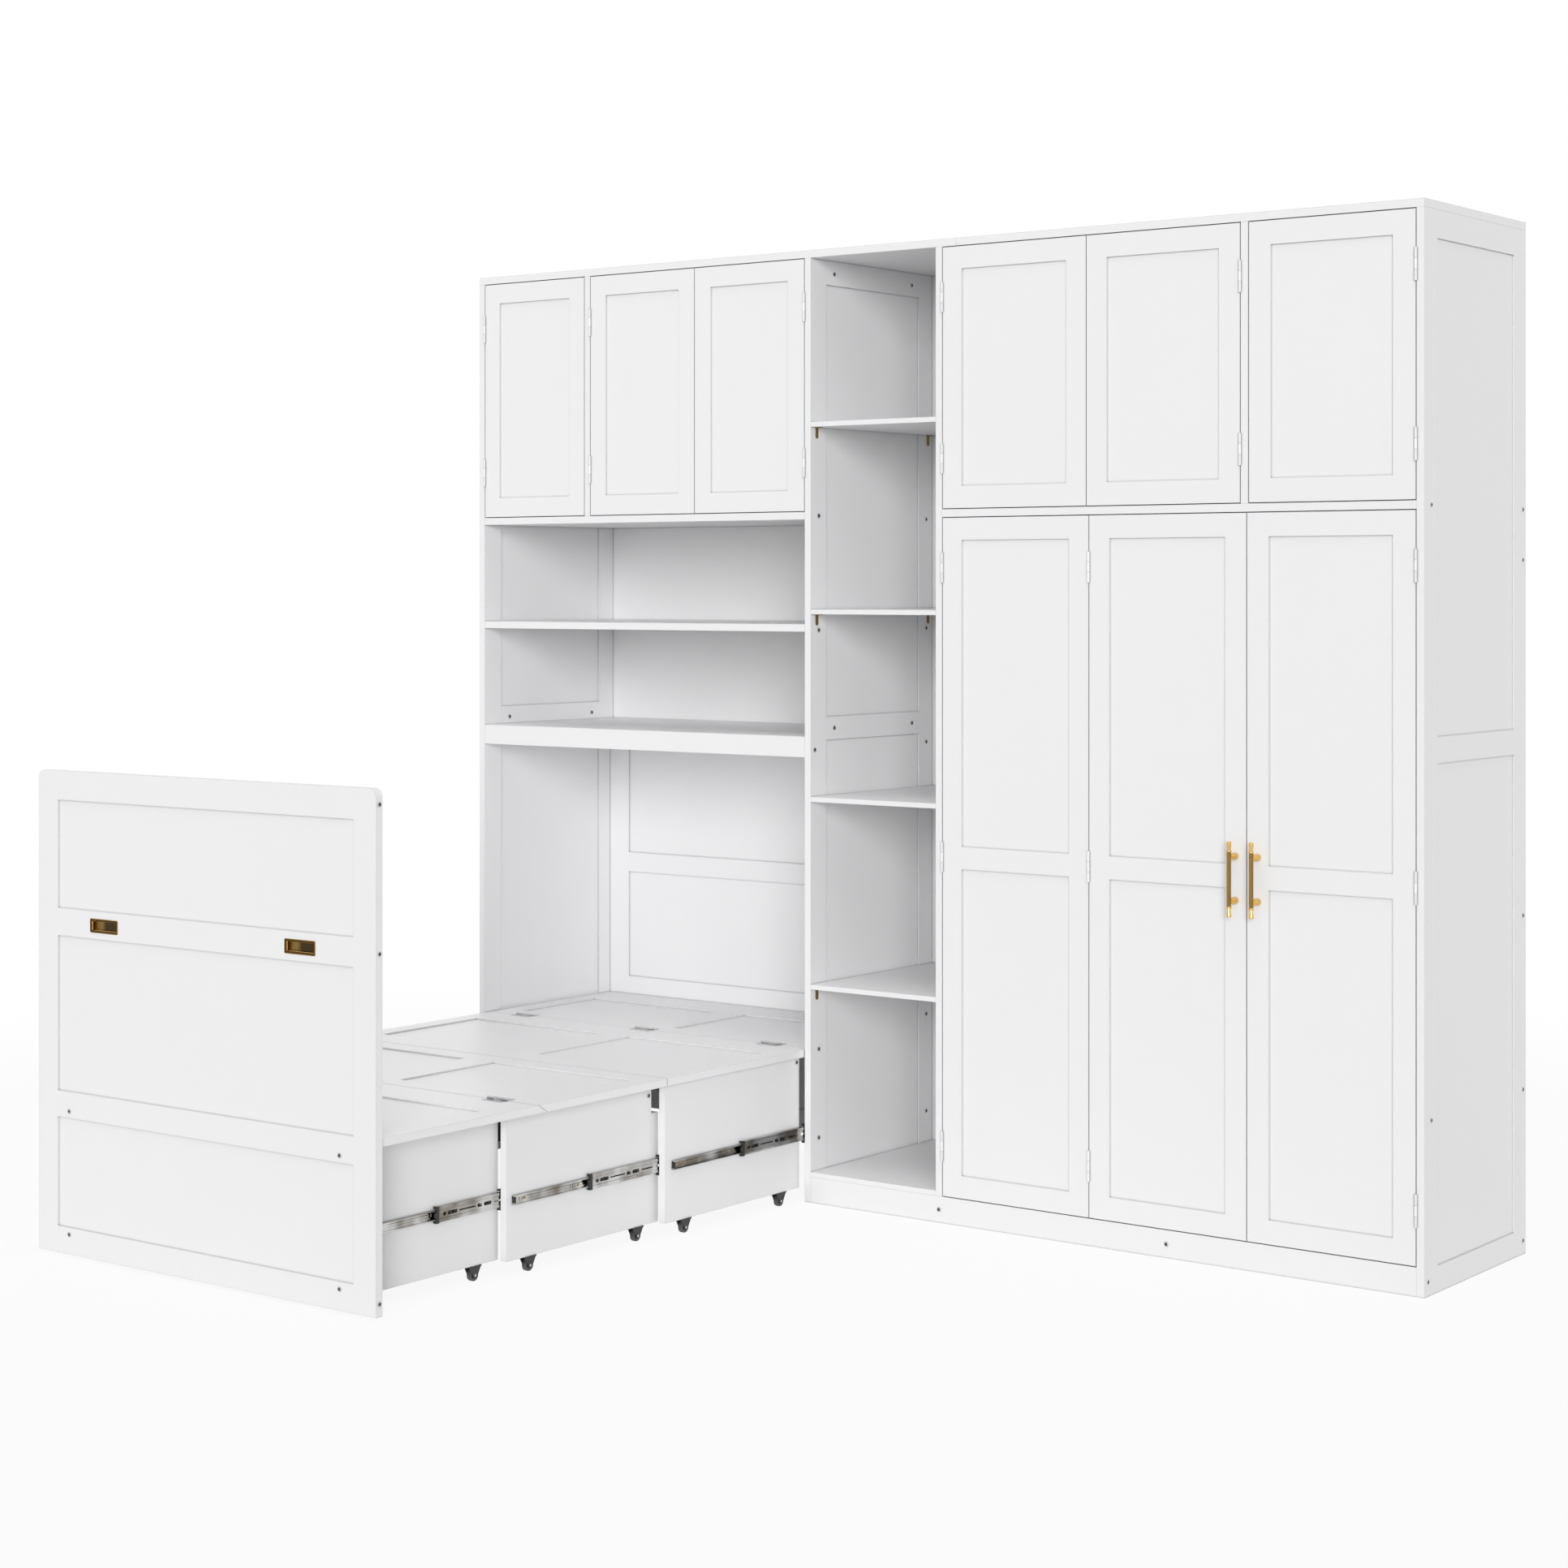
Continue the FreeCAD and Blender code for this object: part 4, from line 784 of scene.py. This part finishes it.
def makeSlides(nodeName, body):
    steel, slots, plastic = bmesh.new(), bmesh.new(), bmesh.new()
    screws = []
    for low, high, side, kind in membersOf(nodeName):
        if kind == "inner":
            addInner(steel, slots, plastic, screws, low, high, side)
        else:
            addCarrier(steel, slots, plastic, low, high, side, kind)
    steel = carved(steel, slots)
    bmesh.ops.remove_doubles(steel, verts=steel.verts, dist=slide["weld"])
    addPiece(nodeName + "_rolled", steel, ["slide_steel"], body, [nodeName])
    bmesh.ops.bevel(plastic, geom=plastic.edges[:], offset=slide["rounding"], segments=2, affect="EDGES",
                    profile=0.5, clamp_overlap=True)
    addPiece(nodeName + "_ends", plastic, ["black_plastic"], body, smooth=False)
    if screws:
        placeHeads(nodeName + "_screws", body, screws, slide["screwRadius"], slide["screwHeight"],
                   slide["screwSocket"], slide["screwSides"], "screw_brass")


slideBodies = {"cabinet_slide_members": "cabinet"}
slideBodies.update({f"section_{step}_slide_members": f"section_{step}" for step in (1, 2, 3)})
slideBodies.update({f"slide_{step}_middle_members": f"slide_{step}_middle" for step in (1, 2, 3)})
for nodeName, body in slideBodies.items():
    makeSlides(nodeName, body)
print("slides made")


# The rail bolts that share a node with the slide members.
def makeRailBolts(nodeName, body):
    work = bmesh.new()
    for low, high in islands(nodeName):
        if max(high - low) > boltHead["widest"]:
            continue
        thickness, radius = high.x - low.x, (high.y - low.y) / 2
        centre = Vector((low.x, (low.y + high.y) / 2, (low.z + high.z) / 2))
        disc = [(radius, 0.0), (radius, thickness * 0.7), (radius * 0.94, thickness)]
        addTurned(work, disc, centre, "X", boltHead["steps"])
    bmesh.ops.recalc_face_normals(work, faces=work.faces)
    addPiece(nodeName + "_bolts", work, ["bright_steel"], body)


for step in (1, 2):
    makeRailBolts(f"section_{step}_slide_members", f"section_{step}")
print("rail bolts made")


# Caster axles

casterAxle = {"radius": 3.0 * mm, "height": 0.7 * mm, "socket": 1.2 * mm, "reach": 9.1 * mm}


def makeAxles(section):
    spots = []
    for body in frame["bodies"]:
        if not (body.startswith(section) and body.endswith("_wheels")):
            continue
        for low, high in islands(body):
            centre = (low + high) / 2
            for way in (-1, 1):
                spots.append((centre + Vector((way * casterAxle["reach"], 0, 0)), Vector((way, 0, 0))))
    placeHeads(section + "_caster_axles", section, spots, casterAxle["radius"], casterAxle["height"],
               casterAxle["socket"])


for step in (1, 2, 3):
    makeAxles(f"section_{step}")
print("caster axles made")


# Floor, light and camera

room = {"ambient": 0.35, "floor": 0.7, "floorSize": 40.0, "shadowShare": 0.08, "fadeStart": 2.6,
        "fadeEnd": 5.0}
view = {"place": (3.966, -5.2425, 1.479), "turn": math.radians(37.0), "lens": 67.79, "sensor": 36.0,
        "shift": (0.0, -0.1253), "far": 100.0}
# where each sun comes from, its level, its softness in degrees, and whether its gloss is seen
suns = {"light from beside the camera": ((0.57, -0.81, 0.18), 0.585, 26, True),
        "light from above": ((0.1, -0.25, 0.96), 0.29, 40, True),
        "light from behind": ((-0.6, 0.75, 0.2), 0.42, 40, False)}


# It shows nearly white, with a part of the shadows near the middle, and lights the part as a pale floor.
def makeFloor():
    size = room["floorSize"]
    mesh = bpy.data.meshes.new("floor")
    corners = [(-size, -size, 0), (size, -size, 0), (size, size, 0), (-size, size, 0)]
    mesh.from_pydata(corners, [], [(0, 1, 2, 3)])
    floor = bpy.data.objects.new("floor", mesh)
    bpy.context.scene.collection.objects.link(floor)
    material, net = newMaterial("pale floor")
    matt = net.add("ShaderNodeBsdfDiffuse", {}, {"Color": (room["floor"],) * 3})
    bright = net.add("ShaderNodeEmission", {}, {"Color": (1, 1, 1), "Strength": 1.0})
    away = net.add("ShaderNodeVectorMath", {"operation": "LENGTH"}, {0: net.place()}, output=1)
    fade = net.add("ShaderNodeMapRange", {"interpolation_type": "SMOOTHSTEP"},
                   {"Value": away, "From Min": room["fadeStart"], "From Max": room["fadeEnd"],
                    "To Min": 1 - room["shadowShare"], "To Max": 1.0})
    both = net.add("ShaderNodeMixShader", {}, {0: net.seen() * fade, 1: matt, 2: bright})
    net.add("ShaderNodeOutputMaterial", {}, {"Surface": both})
    mesh.materials.append(material)


def makeWorld():
    world = bpy.data.worlds.new("studio")
    bpy.context.scene.world = world
    world.use_nodes = True
    net = Net(world.node_tree)
    strength = net.seen() * (1 - room["ambient"]) + room["ambient"]
    sky = net.add("ShaderNodeBackground", {}, {"Color": (1, 1, 1), "Strength": strength})
    net.add("ShaderNodeOutputWorld", {}, {"Surface": sky})


# A wide soft sun: at level 1 it lights a face turned to it as brightly as its colour is written.
def addSun(name, comesFrom, level, softness, shines):
    lamp = bpy.data.lights.new(name, "SUN")
    lamp.energy, lamp.angle = level * math.pi, math.radians(softness)
    holder = bpy.data.objects.new(name, lamp)
    holder.visible_glossy = shines   # without it the lamp leaves no streak of gloss on the flat tops
    holder.rotation_euler = (-Vector(comesFrom)).to_track_quat("-Z", "Y").to_euler()
    bpy.context.scene.collection.objects.link(holder)


def makeCamera():
    lens = bpy.data.cameras.new("camera")
    lens.lens, lens.sensor_width = view["lens"], view["sensor"]
    lens.shift_x, lens.shift_y = view["shift"]
    lens.clip_end = view["far"]
    holder = bpy.data.objects.new("camera", lens)
    holder.location = view["place"]
    holder.rotation_euler = (math.radians(90), 0, view["turn"])
    bpy.context.scene.collection.objects.link(holder)
    bpy.context.scene.camera = holder


makeFloor()
makeWorld()
for name, settings in suns.items():
    addSun(name, *settings)
makeCamera()
bpy.context.scene.view_settings.view_transform = "Standard"
print("stage made")
